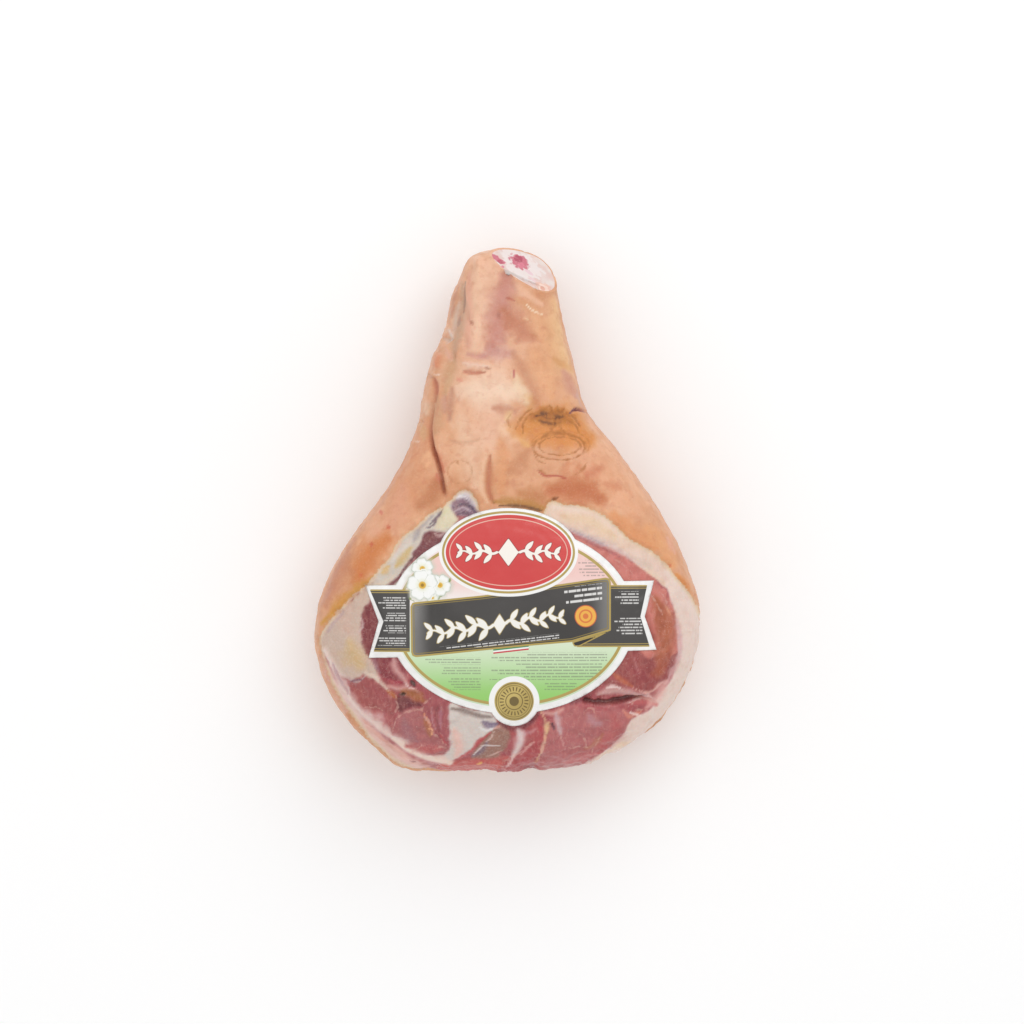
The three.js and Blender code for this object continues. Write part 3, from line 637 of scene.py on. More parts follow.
# Each line: what it is, its points, half width, colour, strength, and how far it stands out.
FLESH_STROKES = [
    ("white of the fascia", [(-46, 9), (-37, 14), (-30, 11), (-25, 2)], 4.4, "#d8d1d3", 0.95, 0.8),
    ("dark stripe of the muscle", [(-44, 3), (-38, 6), (-31, 4), (-26, -2)], 1.3, "#584257", 0.85, -0.6),
    ("pale stripe of the muscle", [(-44, 0), (-37, 3), (-30, 0)], 1.1, "#bba9b4", 0.8, 0.2),
    ("dark stripe of the muscle", [(-42, -3), (-36, -1), (-29, -4)], 1.2, "#6a4c5c", 0.8, -0.4),
    ("white glint of the fascia", [(-42, 11), (-37, 12), (-32, 9)], 1.4, "#ece8ea", 0.7, 0.3),
    ("cream below the crease", [(-53, 5), (-50, 1), (-52, -3)], 2.6, "#d9cfa9", 0.9, 0.4),
    # A purple-grey painted shade along the inner edge of the fascia.
    ("shaded inner edge of the fascia", [(-62, -4), (-71, -13), (-77, -24)], 3.4, "#aaa09f", 0.85, -0.4),
    ("dark streak", [(-64, -11), (-58, -5), (-53, 1)], 1.2, "#6b5763", 0.85, -0.6),
    ("dark streak", [(-67, -14), (-62, -12), (-58, -7)], 1.0, "#6b5763", 0.85, -0.6),
    ("rosy edge of the fascia", [(-86, -22), (-90, -30), (-97, -37)], 2.4, "#d9a896", 0.8, 0),
    ("white fat", [(-80, -24), (-86, -32), (-94, -40)], 5.0, "#d8cbc0", 0.85, 0.4),
    ("yellow fat", [(-79, -30), (-84, -37), (-91, -45)], 4.4, "#cbab6c", 0.8, 0.5),
    ("yellow spot", [(-97, -45), (-102, -50)], 4.2, "#d9b06f", 0.8, 0.3),
    ("dark edge by the label", [(-76, -36), (-82, -44), (-88, -52)], 1.8, "#6b3a40", 0.85, -0.8),
    ("lean over the left tail", [(-98, -60), (-92, -57), (-87, -52)], 2.2, "#6a2f38", 0.95, -0.8),
    ("cream by the left tail", [(-108, -60), (-100, -58), (-92, -52)], 3.0, "#d8c6b2", 0.9, 0.3),
    ("veil over the lean", [(-60, -18), (-56, -20), (-52, -18)], 1.6, "#c9a9a3", 0.8, 0.2),
    ("yellow lard", [(-128, -106), (-124, -116), (-120, -124)], 11, "#cfae7e", 0.85, 0.5),
    ("rosy lard", [(-128, -76), (-132, -92), (-126, -98)], 8, "#cfae9e", 0.7, 0),
    ("mauve fold in the lard", [(-134, -82), (-142, -92), (-146, -98)], 3, "#bfa3a2", 0.7, -0.6),
    ("white edge of the lard", [(-138, -131), (-128, -136), (-122, -138), (-116, -134)],
     2.0, "#c9b0a8", 0.8, 0.6),
    ("violet edge of the lard", [(-128, -138), (-122, -137), (-117, -136)], 1.2, "#7d5060", 0.9, -0.6),
    ("white arm of the lard", [(-116, -131), (-108, -134), (-102, -140), (-97, -146)],
     2.6, "#dbc2b2", 0.95, 0.8),
    ("membrane by the dark lean", [(-120, -86), (-118, -92), (-121, -98)], 1.6, "#cdb0aa", 0.8, 0.3),
    ("violet shade", [(-110, -118), (-107, -126), (-104, -131)], 2.2, "#8d5c6c", 0.8, 0),
    ("pink fat lobe", [(-93, -120), (-92, -127), (-86, -134), (-82, -140)], 4.4, "#cb9793", 0.95, 1.2),
    ("rosy edge of the lobe", [(-89, -119), (-84, -126), (-80, -134)], 1.8, "#b95f68", 0.9, 0.2),
    ("red under the lobe", [(-100, -136), (-92, -139), (-86, -139)], 2.2, "#a53849", 0.9, -0.3),
    ("membrane under the lobe", [(-98, -142), (-90, -144), (-82, -144), (-74, -146)],
     3.0, "#cf9a94", 0.95, 0.8),
    # The hole is painted near-black: painted shade inside it.
    ("dark hole by the label", [(-79, -138), (-76, -142)], 2.8, "#41181f", 0.97, -2.0),
    ("glint between them", [(-84, -139), (-80, -143), (-74, -144)], 1.0, "#e6c6bf", 0.9, 0.4),
    ("thin brown lean", [(-98, -146), (-94, -149), (-91, -152)], 2.4, "#b1683a", 0.95, -0.3),
    ("brown lean", [(-86, -147), (-77, -149), (-69, -154)], 5.5, "#a06030", 0.95, -0.6),
    # The hole is painted near-black: painted shade inside it.
    ("hole in the brown lean", [(-88, -149), (-84, -149)], 2.2, "#3f2315", 0.95, -1.8),
    ("pink side of the left rump", [(-112, -164), (-102, -168), (-96, -176)], 5, "#b5636a", 0.7, 0.4),
    ("brown of the left rump", [(-124, -144), (-118, -154), (-108, -160)], 7, "#9b4b49", 0.6, 0),
    ("red of the left rump", [(-116, -140), (-106, -146), (-98, -154)], 5, "#94424a", 0.7, 0),
    ("pale fat inside the rind", [(-147, -128), (-133, -154), (-112, -182), (-88, -202), (-60, -214)], 8,
     "#e3bdb2", 0.95, 0.2),
    ("fat under the rim", [(-148, -113), (-140, -130), (-132, -146), (-121, -160), (-108, -172), (-94, -182),
                           (-80, -192), (-64, -200), (-48, -204)], 6.5, "#e6cdc4", 0.98, 0.8),
    ("violet in the rim", [(-142, -124), (-136, -138), (-130, -148)], 2.0, "#b48a90", 0.7, -0.3),
    ("pink of the fat", [(-118, -170), (-102, -186), (-84, -200)], 5.0, "#dfa898", 0.8, 0.2),
    ("rosy foot of the fat", [(-92, -192), (-80, -202), (-66, -210)], 6, "#e6b2a4", 0.8, 0),
    ("cream foot of the fat", [(-94, -184), (-78, -195), (-60, -202), (-46, -204)], 4.4, "#ecd2c2", 0.9, 0.4),
    ("red fleck", [(-80, -204), (-76, -205)], 1.4, "#8a3335", 0.9, -0.3),
    ("red fleck", [(-70, -206), (-64, -207)], 1.0, "#a65a55", 0.8, -0.2),
    ("grey of the round muscle", [(-84, -168), (-82, -178), (-74, -186)], 6, "#9a6870", 0.6, 0),
    ("red of the round muscle", [(-82, -190), (-68, -192), (-54, -192)], 5, "#bb575a", 0.8, 0.2),
    ("brown of the round muscle", [(-68, -168), (-65, -176), (-63, -182)], 3.0, "#a3623c", 0.9, -0.2),
    ("orange strand", [(-69, -161), (-65, -170), (-61, -178)], 1.2, "#dd8f62", 0.9, 0.4),
    ("bright end of the strand", [(-64, -176), (-61, -177), (-62, -181)], 1.1, "#efb384", 0.9, 0.4),
    ("stripe", [(-62, -158), (-62, -168), (-58, -178)], 1.0, "#b98088", 0.8, 0.3),
    ("stripe", [(-54, -158), (-55, -168), (-55, -178)], 1.6, "#a96f80", 0.8, 0.3),
    ("dark stripe", [(-58, -158), (-58, -168), (-55, -184)], 1.4, "#76303c", 0.7, -0.3),
    ("red end of the stripes", [(-56, -180), (-50, -188)], 2.6, "#b5474f", 0.8, 0),
    # Along the seal's lower edge the fat is painted grey-brown and violet: a painted shadow of the label.
    ("shade in the fat", [(-46, -160), (-36, -162), (-24, -166), (-14, -167)], 3.4, "#85716b", 0.9, -1.0),
    ("violet shadow by the seal", [(-21, -171), (-16, -174), (-9, -173)], 4.0, "#77647e", 0.9, -0.8),
    ("white in the fat", [(-24, -175), (-18, -178), (-10, -176)], 1.4, "#e2dcda", 0.9, 0.3),
    ("pink foot of the middle fat", [(-44, -178), (-40, -190), (-42, -199)], 6, "#e4b6aa", 0.85, 0.2),
    ("red strip", [(-15, -180), (-24, -188), (-32, -196), (-40, -202)], 2.4, "#b23f46", 0.9, 0.2),
    ("violet of the sheath", [(-29, -200), (-22, -196), (-17, -188)], 3.0, "#7e6674", 0.85, -0.4),
    ("sheath glint", [(-22, -191), (-16, -191), (-7, -191)], 1.0, "#d6c6c3", 0.95, 0.4),
    ("sheath glint", [(-28, -199), (-24, -194), (-20, -191)], 1.3, "#d9cbca", 0.9, 0.4),
    ("sheath glint", [(-18, -188), (-14, -184), (-12, -180)], 1.1, "#d2b7b0", 0.9, 0.4),
    ("sheath glint", [(-16, -200), (-12, -198), (-6, -196)], 1.0, "#cfa79d", 0.8, 0.3),
    ("pink over the sheath", [(-12, -177), (-6, -175), (-3, -178)], 1.8, "#cf9d90", 0.85, 0.2),
    ("dark under the seal", [(-8, -172), (0, -176), (14, -174), (24, -165)], 3.0, "#611f2b", 0.85, -1.2),
    ("pink under the seal", [(10, -179), (17, -179), (22, -176)], 2.4, "#c28288", 0.85, 0.2),
    ("yellow fleck", [(-25, -205), (-21, -204)], 1.2, "#e0b05c", 0.9, 0.3),
    ("white sheath of the middle", [(8, -178), (10, -185), (6, -194), (3, -199)], 4.8, "#d9c6c2", 0.97, 0.8),
    ("bright tip of the sheath", [(5, -196), (2, -202), (-3, -208)], 1.3, "#e3bfb8", 0.9, 0.3),
    ("pink line of the middle", [(10, -197), (16, -191), (21, -186)], 1.4, "#d49a9a", 0.85, 0.3),
    ("red of the middle", [(22, -188), (16, -200), (4, -206)], 5, "#a3353f", 0.8, 0),
    ("red by the strand", [(25, -166), (26, -176), (27, -184)], 2.6, "#b3404a", 0.8, 0),
    ("strand between the muscles", [(26, -162), (30, -170), (30, -180), (27, -192), (22, -204)],
     2.0, "#d8a585", 0.97, 0.6),
    ("fat blob of the strand", [(32, -171), (31, -179)], 3.2, "#deb286", 0.97, 0.6),
    # Beside the strand a groove is painted dark: painted shade in the groove.
    ("dark side of the strand", [(35, -172), (37, -176)], 1.8, "#5b3040", 0.95, -1.6),
    ("pink over the strand", [(28, -163), (36, -164), (44, -160)], 3.6, "#d29c94", 0.9, 0.4),
    ("white sheath of the right", [(38, -164), (40, -172), (42, -180)], 3.8, "#c9a3a4", 0.95, 0.5),
    ("thread of the right", [(42, -181), (44, -188), (46, -193)], 0.9, "#c98d8d", 0.8, 0.2),
    ("sheen of the right", [(64, -164), (68, -170), (74, -172)], 5, "#b88a92", 0.7, 0.3),
    ("red of the right", [(84, -166), (86, -178), (74, -192)], 8, "#b5575a", 0.85, 0),
    ("brown of the right", [(76, -180), (70, -188), (62, -192)], 3.0, "#b06a48", 0.7, 0.1),
    ("rosy foot of the right", [(44, -204), (60, -200), (72, -196)], 5, "#c6686a", 0.8, 0),
    ("white foot of the right", [(26, -207), (34, -207), (42, -208)], 3.6, "#dfb5ab", 0.8, 0.2),
    ("peach foot of the fat", [(62, -204), (80, -197), (98, -187)], 3.0, "#efcda6", 0.9, 0.3),
    ("lean under the slit", [(54, -156), (66, -158), (82, -160)], 3.4, "#a84c55", 0.8, 0),
    ("shade by the label", [(50, -156), (58, -153), (66, -150)], 3.0, "#722c38", 0.85, -0.6),
    ("orange strand over the slit", [(84, -131), (91, -137), (100, -142)], 3.4, "#bb6546", 0.95, 0.6),
    ("lean over the slit", [(76, -140), (84, -139), (92, -143)], 3.0, "#8d4547", 0.9, 0),
    ("pale lobe over the slit", [(72, -148), (86, -145), (98, -147), (112, -149)], 5.0, "#c79c97", 0.9, 2.6),
    ("glint of the lobe", [(80, -143), (86, -142), (92, -144)], 1.5, "#e8cfca", 0.9, 0.5),
    ("fibres past the slit", [(100, -156), (110, -154), (120, -157)], 4.6, "#c9676a", 0.9, 0.4),
    ("orange fibres", [(93, -162), (98, -166), (108, -163)], 3.0, "#dc8f7a", 0.9, 0.3),
    ("white fibre", [(98, -163), (103, -165), (108, -166)], 1.5, "#f0d6ce", 0.9, 0.3),
    ("white fibre", [(102, -149), (112, -150), (120, -154)], 1.2, "#e6c0ba", 0.9, 0.4),
    ("white fibre", [(96, -157), (102, -154), (110, -152)], 1.0, "#e0b3ad", 0.9, 0.4),
    ("lower lip of the slit", [(78, -157), (90, -157), (100, -154)], 2.0, "#b8656a", 0.9, 0.5),
    ("brown of the right rump", [(120, -72), (127, -90), (126, -110), (122, -130)], 10, "#ac6040", 0.95, 0.4),
    ("deep brown of the rump", [(121, -82), (122, -100)], 5.0, "#9d5236", 0.7, 0),
    ("pale flecks of the rump", [(126, -74), (131, -84)], 1.6, "#d99a78", 0.8, 0.2),
    ("dark lean by the tail", [(110, -80), (113, -94), (118, -106)], 4.4, "#9c4c44", 0.8, 0),
    ("brown of the lower rump", [(130, -112), (124, -124), (116, -134)], 5.0, "#9f4c38", 0.8, 0),
    ("red of the lower rump", [(116, -136), (106, -132), (96, -126)], 6, "#8f3840", 0.7, 0),
    ("vein of the rump", [(101, -117), (103, -125), (106, -132)], 1.2, "#b57375", 0.85, 0.2),
    ("pale edge of the rump", [(100, -143), (114, -147), (126, -139)], 1.4, "#dba89c", 0.85, 0.3),
    ("pink of the upper lean", [(78, -32), (98, -46), (114, -60)], 7, "#cb7771", 0.8, 0.2),
    ("dark edge by the white line", [(58, -22), (76, -30), (92, -38)], 1.8, "#a2565a", 0.8, -0.5),
    ("pale strands", [(118, -60), (124, -70), (128, -76)], 3.0, "#cf847a", 0.7, 0.2),
    ("pink line under the fat", [(40, -10), (58, -18), (78, -26), (96, -36), (110, -46)],
     3.4, "#d9bfb8", 0.9, -0.6),
    ("violet line under the fat", [(50, -15), (66, -22), (82, -29)], 1.2, "#b39ba2", 0.7, -0.5),
    ("yellow of the fat", [(44, -4), (66, -9), (86, -20)], 7, "#e4c39c", 0.55, 0.3),
    ("rosy top of the fat", [(36, 3), (54, 2), (68, 0), (80, -8), (92, -20)], 5, "#e8cfc0", 0.8, 0),
    ("cream of the fat", [(96, -32), (114, -40), (128, -54)], 6, "#e4c7ba", 0.8, 0.2),
    ("grey of the fat", [(104, -38), (116, -46)], 4, "#d4bfb0", 0.7, 0),
    ("pink line in the fat", [(137, -88), (139, -106), (136, -124), (128, -140)], 3.4, "#d3a5a4", 0.85, 0),
    ("rosy fat", [(142, -78), (146, -92)], 7, "#e3c8bc", 0.7, 0),
    ("pink grain of the fat", [(128, -138), (122, -150), (112, -160)], 5.0, "#e5b1a9", 0.8, 0),
    # The slit is painted dark: painted shade inside the gap.
    ("slit", [(62, -154), (76, -155), (92, -153), (108, -150)], 3.6, "#5d2a2c", 0.9, -5.0),
]

# White sheaths between the muscles: points and half width of the line. Each lies in a shallow groove.
SEAMS = [
    ([(-92, -150), (-90, -158), (-92, -163)], 0.6),
    ([(-61, -150), (-67, -155), (-70, -160), (-80, -162), (-90, -168), (-93, -178)], 0.6),
    ([(-70, -160), (-65, -170), (-58, -182), (-48, -191)], 0.55),
    ([(-80, -196), (-72, -192), (-70, -188)], 0.5),
    ([(-60, -192), (-54, -191), (-48, -194)], 0.5),
    ([(-115, -158), (-106, -160), (-99, -165)], 0.4),
    ([(-104, -170), (-98, -174), (-94, -180)], 0.35),
    ([(-6, -208), (4, -198), (12, -194), (20, -186)], 0.5),
    ([(24, -203), (27, -192), (29, -182)], 0.8),
    ([(42, -178), (44, -188), (50, -191), (64, -191)], 0.45),
    ([(56, -178), (60, -184), (64, -190)], 0.35),
    ([(74, -182), (70, -190), (66, -196)], 0.35),
    ([(60, -163), (66, -159), (70, -164)], 0.4),
    ([(97, -159), (104, -154), (112, -151)], 0.5),
    ([(104, -150), (112, -153), (121, -156)], 0.5),
    ([(100, -160), (107, -162), (113, -161)], 0.4),
    ([(84, -38), (96, -46), (104, -54)], 0.35),
    ([(120, -62), (127, -70), (131, -80)], 0.35),
    ([(114, -66), (121, -76), (124, -84)], 0.35),
]

flesh = np.empty((len(plan), 3))
flesh[:] = srgb("#a04a52")
paint(flesh, smooth(0.0, 0.9, fractal(22, 3, 3.0)), "#8a3840", 0.6)
rise = np.zeros(len(plan))
for _, points, soft, colour, strength, raised in FLESH_PATCHES:
    paint(flesh, patch(points, soft), colour, strength)
    rise += raised * patch(points, 4.5)
for _, points, half_width, colour, strength, raised in FLESH_STROKES:
    cover = stroke(points, half_width)
    shown = np.maximum(facing_up, smooth(*WIDE_STRAND, half_width))
    paint(flesh, cover * shown, colour, strength)
    rise += raised * cover * np.maximum(shown, 0.6)

# Under its trimmed edge the rind has a layer of fat.
paint(flesh, smooth(-3.2, -0.6, rind_mm), "#dfc5a6", 0.85)

seam_mm = np.full(len(plan), 20.0)
for points, half_width in SEAMS:
    line = through(points)
    near = close_to(line, 20)
    off, share = to_line(plan[near], line)
    width = half_width * (0.3 + 0.7 * smooth(0, 0.3, share) * smooth(0, 0.3, 1 - share))
    seam_mm[near] = np.minimum(seam_mm[near], np.abs(off + 0.7 * fine_wobble[near]) - width)
    rise[near] -= 1.2 * np.exp(-((off / 2.4) ** 2)) * smooth(0, 0.2, share) * smooth(0, 0.2, 1 - share)

lift += rise * open_share
lift += RIND_EDGE_HEIGHT * (smooth(-1.0, 1.8, rind_mm) - 1) + 0.8 * np.exp(-(((rind_mm - 3) / 3) ** 2))
lift += 0.45 * wobble * (1 + open_share) + 0.18 * fine_wobble * (1 + 1.4 * open_share)

# On the sides and underneath the rind has dried into shallow wrinkles.
hidden_side = smooth(WIDEST + 12, WIDEST - 18, up_mm) * (1 - open_share)
wrinkle = np.exp(-((fractal(30, 3, 4.0) / 0.16) ** 2)) * smooth(-0.3, 0.7, fractal(70, 2, 6.0))
lift -= 0.9 * wrinkle * hidden_side
lift += 1.6 * fractal(55, 2, 7.0) * hidden_side
# The wrinkles are painted a little darker: painted shade in their creases.
paint(skin, wrinkle * hidden_side, "#b5754f", 0.3)
paint(skin, hidden_side * smooth(-0.1, 0.8, fractal(45, 3, 8.0)), "#c07a4a", 0.5)
paint(skin, hidden_side * smooth(0.0, 0.8, fractal(30, 3, 12.0)), "#e8c096", 0.5)

# ---- Ham: shaping ----------------------------------------------------------------------------------------
# Under the label the meat has been pressed smooth. Nothing passes the plane of the saw or the resting face.

LABEL_OVAL = (2, -86.5, 98, 74.5)
LABEL_MEDALLION = (0, -33, 55, 35)
LABEL_SEAL = (4.5, -151, 20, 20)
LABEL_TAILS = [(-113.5, -59.5), (115.5, -55.5), (108, -84), (117.5, -110.5), (-111, -117), (-103, -88)]


def in_oval(where, oval, inset=0.0):
    """How far inside an upright oval each place is, in mm, true near its edge."""
    x, y, wide, tall = oval
    dx, dy = (where[:, 0] - x) / (wide - inset), (where[:, 1] - y) / (tall - inset)
    size = np.hypot(dx, dy)
    slope = np.hypot(dx / (wide - inset), dy / (tall - inset)) / np.maximum(size, 1e-6)
    return (1 - size) / np.maximum(slope, 1e-6)


def in_label(where):
    ovals = [in_oval(where, oval) for oval in (LABEL_OVAL, LABEL_MEDALLION, LABEL_SEAL)]
    tails = inside(where, np.array([*LABEL_TAILS, LABEL_TAILS[0]], float))
    return np.maximum.reduce([*ovals, tails])


label_mm = in_label(places[:, :2] / MM)
over_label = smooth(80, 90, up_mm)
lift *= 1 - 0.85 * smooth(-1, 7, label_mm) * over_label
lift = np.where((label_mm > -2) & (up_mm > 85), np.minimum(lift, 0.15), lift)
lift *= smooth(0.0, 20, up_mm)
shaped = places + normals * (lift * MM)[:, None]
past = (shaped - SAW_POINT) @ SAW_NORMAL
shaped -= np.maximum(past, 0)[:, None] * SAW_NORMAL
sawn = saw_mm > -0.01
shaped[sawn] -= np.minimum(past[sawn], 0)[:, None] * SAW_NORMAL
shaped[:, 2] = np.maximum(shaped[:, 2], 0)
ham.data.vertices.foreach_set("co", shaped.astype(np.float32).ravel())
ham.data.update()
ham.data.shade_smooth()

redness = flesh[:, 0] - flesh[:, 1]
paint(flesh, smooth(0.16, 0.30, redness), "#cf7d68", 0.14)
add_attribute(ham, "skin_colour", skin)
add_attribute(ham, "flesh_colour", flesh)
add_attribute(ham, "rind_mm", rind_mm)
add_attribute(ham, "seam_mm", seam_mm)
add_attribute(ham, "scorch", scorch)
add_attribute(ham, "lean_share", smooth(0.16, 0.30, redness))

# ---- Ham: cured surface ----------------------------------------------------------------------------------
# Cured pork: a dry waxy rind with hair pores and broken veins, matt soft fat, and moist lean in fine
# bundles of fibres that glints under its brine.


def new_material(name):
    made = bpy.data.materials.new(name)
    made.use_nodes = True
    return made, made.node_tree.nodes, made.node_tree.nodes["Principled BSDF"]


def add(nodes, kind, inputs=(), **settings):
    """Adds a shader node, sets its properties, and links or sets its inputs by name or number."""
    node = nodes.new("ShaderNode" + kind)
    for name, value in settings.items():
        setattr(node, name, value)
    for name, value in dict(inputs).items():
        if isinstance(value, bpy.types.NodeSocket):
            nodes.id_data.links.new(value, node.inputs[name])
        elif isinstance(value, str):
            node.inputs[name].default_value = linear(value)
        else:
            node.inputs[name].default_value = value
    return node


def stored(name, output="Fac"):
    return add(nodes, "Attribute", attribute_name=name).outputs[output]


def noise_of(size_mm, detail=3.0, vector=None):
    """Noise whose largest spots are size_mm across."""
    inputs = {"Vector": vector or coords, "Scale": 1 / (size_mm * MM), "Detail": detail}
    return add(nodes, "TexNoise", inputs).outputs["Fac"]


def mapped(value, low, high, to_low=0.0, to_high=1.0):
    inputs = {"Value": value, "From Min": low, "From Max": high, "To Min": to_low, "To Max": to_high}
    return add(nodes, "MapRange", inputs, interpolation_type="SMOOTHSTEP").outputs["Result"]


def maths(operation, a, b=0.0):
    return add(nodes, "Math", {0: a, 1: b}, operation=operation).outputs[0]


def mixed(share, a, b):
    """Colour a, covered by colour b as far as share says."""
    return add(nodes, "Mix", {0: share, 6: a, 7: b}, data_type="RGBA").outputs[2]


cured, nodes, surface = new_material("cured_pork")
coords = add(nodes, "TexCoord").outputs["Object"]
blotches = noise_of(9, 4)
grain = noise_of(1.6, 3)

# Rind: blotches, broken veins, and hair pores about 2.5 mm apart.
rind_colour = mixed(mapped(blotches, 0.4, 0.75, 0, 0.2), stored("skin_colour", "Color"), "#b8683f")
rind_colour = mixed(mapped(grain, 0.45, 0.8, 0, 0.10), rind_colour, "#f6dcc0")
rind_colour = mixed(mapped(noise_of(6, 5), 0.55, 0.7, 0, 0.22), rind_colour, "#c4745c")
pores = add(nodes, "TexVoronoi", {"Vector": coords, "Scale": 1 / (2.5 * MM)}).outputs["Distance"]
rind_colour = mixed(mapped(pores, 0.07, 0.2, 0.16, 0), rind_colour, "#8f5638")
burn = maths("MULTIPLY", stored("scorch"), mapped(noise_of(4, 4), 0.34, 0.6, 0.55, 1.15))
rind_colour = mixed(mapped(burn, 0.02, 0.55, 0, 0.75), rind_colour, "#a9682f")
rind_colour = mixed(mapped(burn, 0.5, 1.0, 0, 0.85), rind_colour, "#5a3320")

# Lean: bundles of fibres, marbling and white specks of cured protein. Fat: a faint grain.
stretch = {"Vector": coords, "Scale": (1.0, 0.35, 0.6), "Rotation": (0, 0, 0.7)}
fibres = noise_of(2.2, 3, add(nodes, "Mapping", stretch).outputs["Vector"])
lean_share = stored("lean_share")
flesh_colour = stored("flesh_colour", "Color")
lean_colour = mixed(mapped(fibres, 0.4, 0.7, 0, 0.16), flesh_colour, "#dd9a8c")
lean_colour = mixed(mapped(blotches, 0.42, 0.7, 0, 0.22), lean_colour, "#74302c")
veins = maths("ABSOLUTE", maths("SUBTRACT", noise_of(8, 4), 0.5))
lean_colour = mixed(mapped(veins, 0.0, 0.014, 0.2, 0), lean_colour, "#e3b9ae")
lean_colour = mixed(mapped(noise_of(1.8, 1), 0.77, 0.82, 0, 0.4), lean_colour, "#f0d2c6")
fat_colour = mixed(mapped(grain, 0.4, 0.75, 0, 0.12), flesh_colour, "#fbf3ea")
fat_colour = mixed(mapped(blotches, 0.45, 0.8, 0, 0.25), fat_colour, "#c79d86")
meat_colour = mixed(lean_share, fat_colour, lean_colour)
seam_edge = maths("ADD", stored("seam_mm"), mapped(noise_of(4, 3), 0.3, 0.7, -0.5, 0.5))
meat_colour = mixed(mapped(seam_edge, -0.4, 0.6, 0.5, 0), meat_colour, "#d9a99c")

edge = maths("ADD", stored("rind_mm"), mapped(noise_of(2.4, 3), 0.25, 0.75, -0.5, 0.5))
rind_share = mapped(edge, -0.35, 0.35)
all_colour = mixed(rind_share, meat_colour, rind_colour)
all_colour = mixed(mapped(maths("ABSOLUTE", edge), 0.0, 1.2, 0.3, 0), all_colour, "#d3a06a")
nodes.id_data.links.new(all_colour, surface.inputs["Base Color"])

# Lean is glossiest, then fat, then rind.
wet = maths("MULTIPLY", maths("SUBTRACT", 1.0, rind_share), mapped(lean_share, 0, 1, 0.4, 1.0))
rough = maths("ADD", mapped(wet, 0, 1, 0.5, 0.33), mapped(noise_of(12, 3), 0.3, 0.7, -0.07, 0.07))
nodes.id_data.links.new(rough, surface.inputs["Roughness"])
rind_bump = maths("ADD", mapped(pores, 0.0, 0.3, -0.3, 0), maths("MULTIPLY", noise_of(3.5, 3), 0.7))
meat_bump = maths("ADD", maths("MULTIPLY", fibres, 0.45), maths("MULTIPLY", noise_of(5, 2), 1.6))
height = add(nodes, "Mix", {0: rind_share, 2: meat_bump, 3: rind_bump}, data_type="FLOAT").outputs[0]
bump = add(nodes, "Bump", {"Height": height, "Strength": 0.45, "Distance": 0.5 * MM})
nodes.id_data.links.new(bump.outputs["Normal"], surface.inputs["Normal"])
surface.inputs["IOR"].default_value = 1.4
surface.inputs["Subsurface Weight"].default_value = 0.12
surface.inputs["Subsurface Radius"].default_value = (1.0, 0.35, 0.2)
surface.inputs["Subsurface Scale"].default_value = 3 * MM
surface.inputs["Coat Weight"].default_value = 0.1
surface.inputs["Coat Roughness"].default_value = 0.2
ham.data.materials.append(cured)

# Sawn face: white fat, the shin bone with red marrow, the thin bone beside it and a bruise. Places are seen
# from above: how far along the face's lower edge from SAW_POINT, and how far back from that edge. Each
# line: place, half length, half width and colour.
BONES = [
    (-4, 12, 19, 10, "#ebdedb"),
    (-7, 13, 9, 5.2, "#c9506a"),
    (-9, 14, 4, 3, "#b23c57"),
    (-4, 11.5, 3, 2.4, "#d97488"),
    (-23, 4.5, 8, 2.2, "#cd5a72"),
    (-19, 4, 2.6, 1.5, "#b9405c"),
    (-15, 1.5, 1.3, 1.0, "#d9738a"),
    (4, 10, 4.5, 1.2, "#e8c6cc"),
    (10, 7, 4, 0.9, "#e6c8cc"),
    (21, 5.6, 6.6, 4.4, "#e9b9a6"),
    (21, 5.6, 4.6, 2.9, "#f3d5c6"),
    (21, 5.6, 2.4, 1.5, "#e3a590"),
]
sawn_end, nodes, surface = new_material("sawn_fat_and_bone")
coords = add(nodes, "TexCoord").outputs["Object"]
from_point = add(nodes, "VectorMath", {0: coords, 1: tuple(SAW_POINT)}, operation="SUBTRACT").outputs[0]
back = np.array([SAW_NORMAL[0], SAW_NORMAL[1], 0]) / np.hypot(SAW_NORMAL[0], SAW_NORMAL[1])
in_face = [
    add(nodes, "VectorMath", {0: from_point, 1: tuple(way / MM)}, operation="DOT_PRODUCT").outputs["Value"]
    for way in (np.array([back[1], -back[0], 0]), back)
]
ragged_edge = mapped(noise_of(5, 4), 0.25, 0.75, -0.3, 0.3)
face_colour = mixed(mapped(noise_of(12, 3), 0.35, 0.65), "#e6d8d2", "#e1c3bb")
for *place, long, wide, colour in BONES:
    parts = (
        maths("POWER", maths("DIVIDE", maths("SUBTRACT", value, float(at)), float(size)), 2.0)
        for value, at, size in zip(in_face, place, (long, wide))
    )
    size = maths("SQRT", maths("ADD", *parts))
    face_colour = mixed(mapped(maths("ADD", size, ragged_edge), 0.85, 1.1, 0.9, 0), face_colour, colour)
face_colour = mixed(mapped(noise_of(2.5, 4), 0.5, 0.75, 0, 0.15), face_colour, "#f3e8e2")
nodes.id_data.links.new(face_colour, surface.inputs["Base Color"])
saw_marks = add(nodes, "Mapping", {"Vector": coords, "Scale": (1, 1, 4)}).outputs["Vector"]
bump = add(nodes, "Bump", {"Height": noise_of(3, 3, saw_marks), "Strength": 0.5, "Distance": 0.4 * MM})
nodes.id_data.links.new(bump.outputs["Normal"], surface.inputs["Normal"])
nodes.id_data.links.new(mapped(noise_of(8, 2), 0.3, 0.7, 0.38, 0.52), surface.inputs["Roughness"])
surface.inputs["Subsurface Weight"].default_value = 0.12
surface.inputs["Subsurface Radius"].default_value = (1.0, 0.5, 0.4)
surface.inputs["Subsurface Scale"].default_value = 3 * MM
ham.data.materials.append(sawn_end)
for index in sawn_faces:
    ham.data.polygons[index].material_index = 1

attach(ham, "root")
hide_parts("ham")

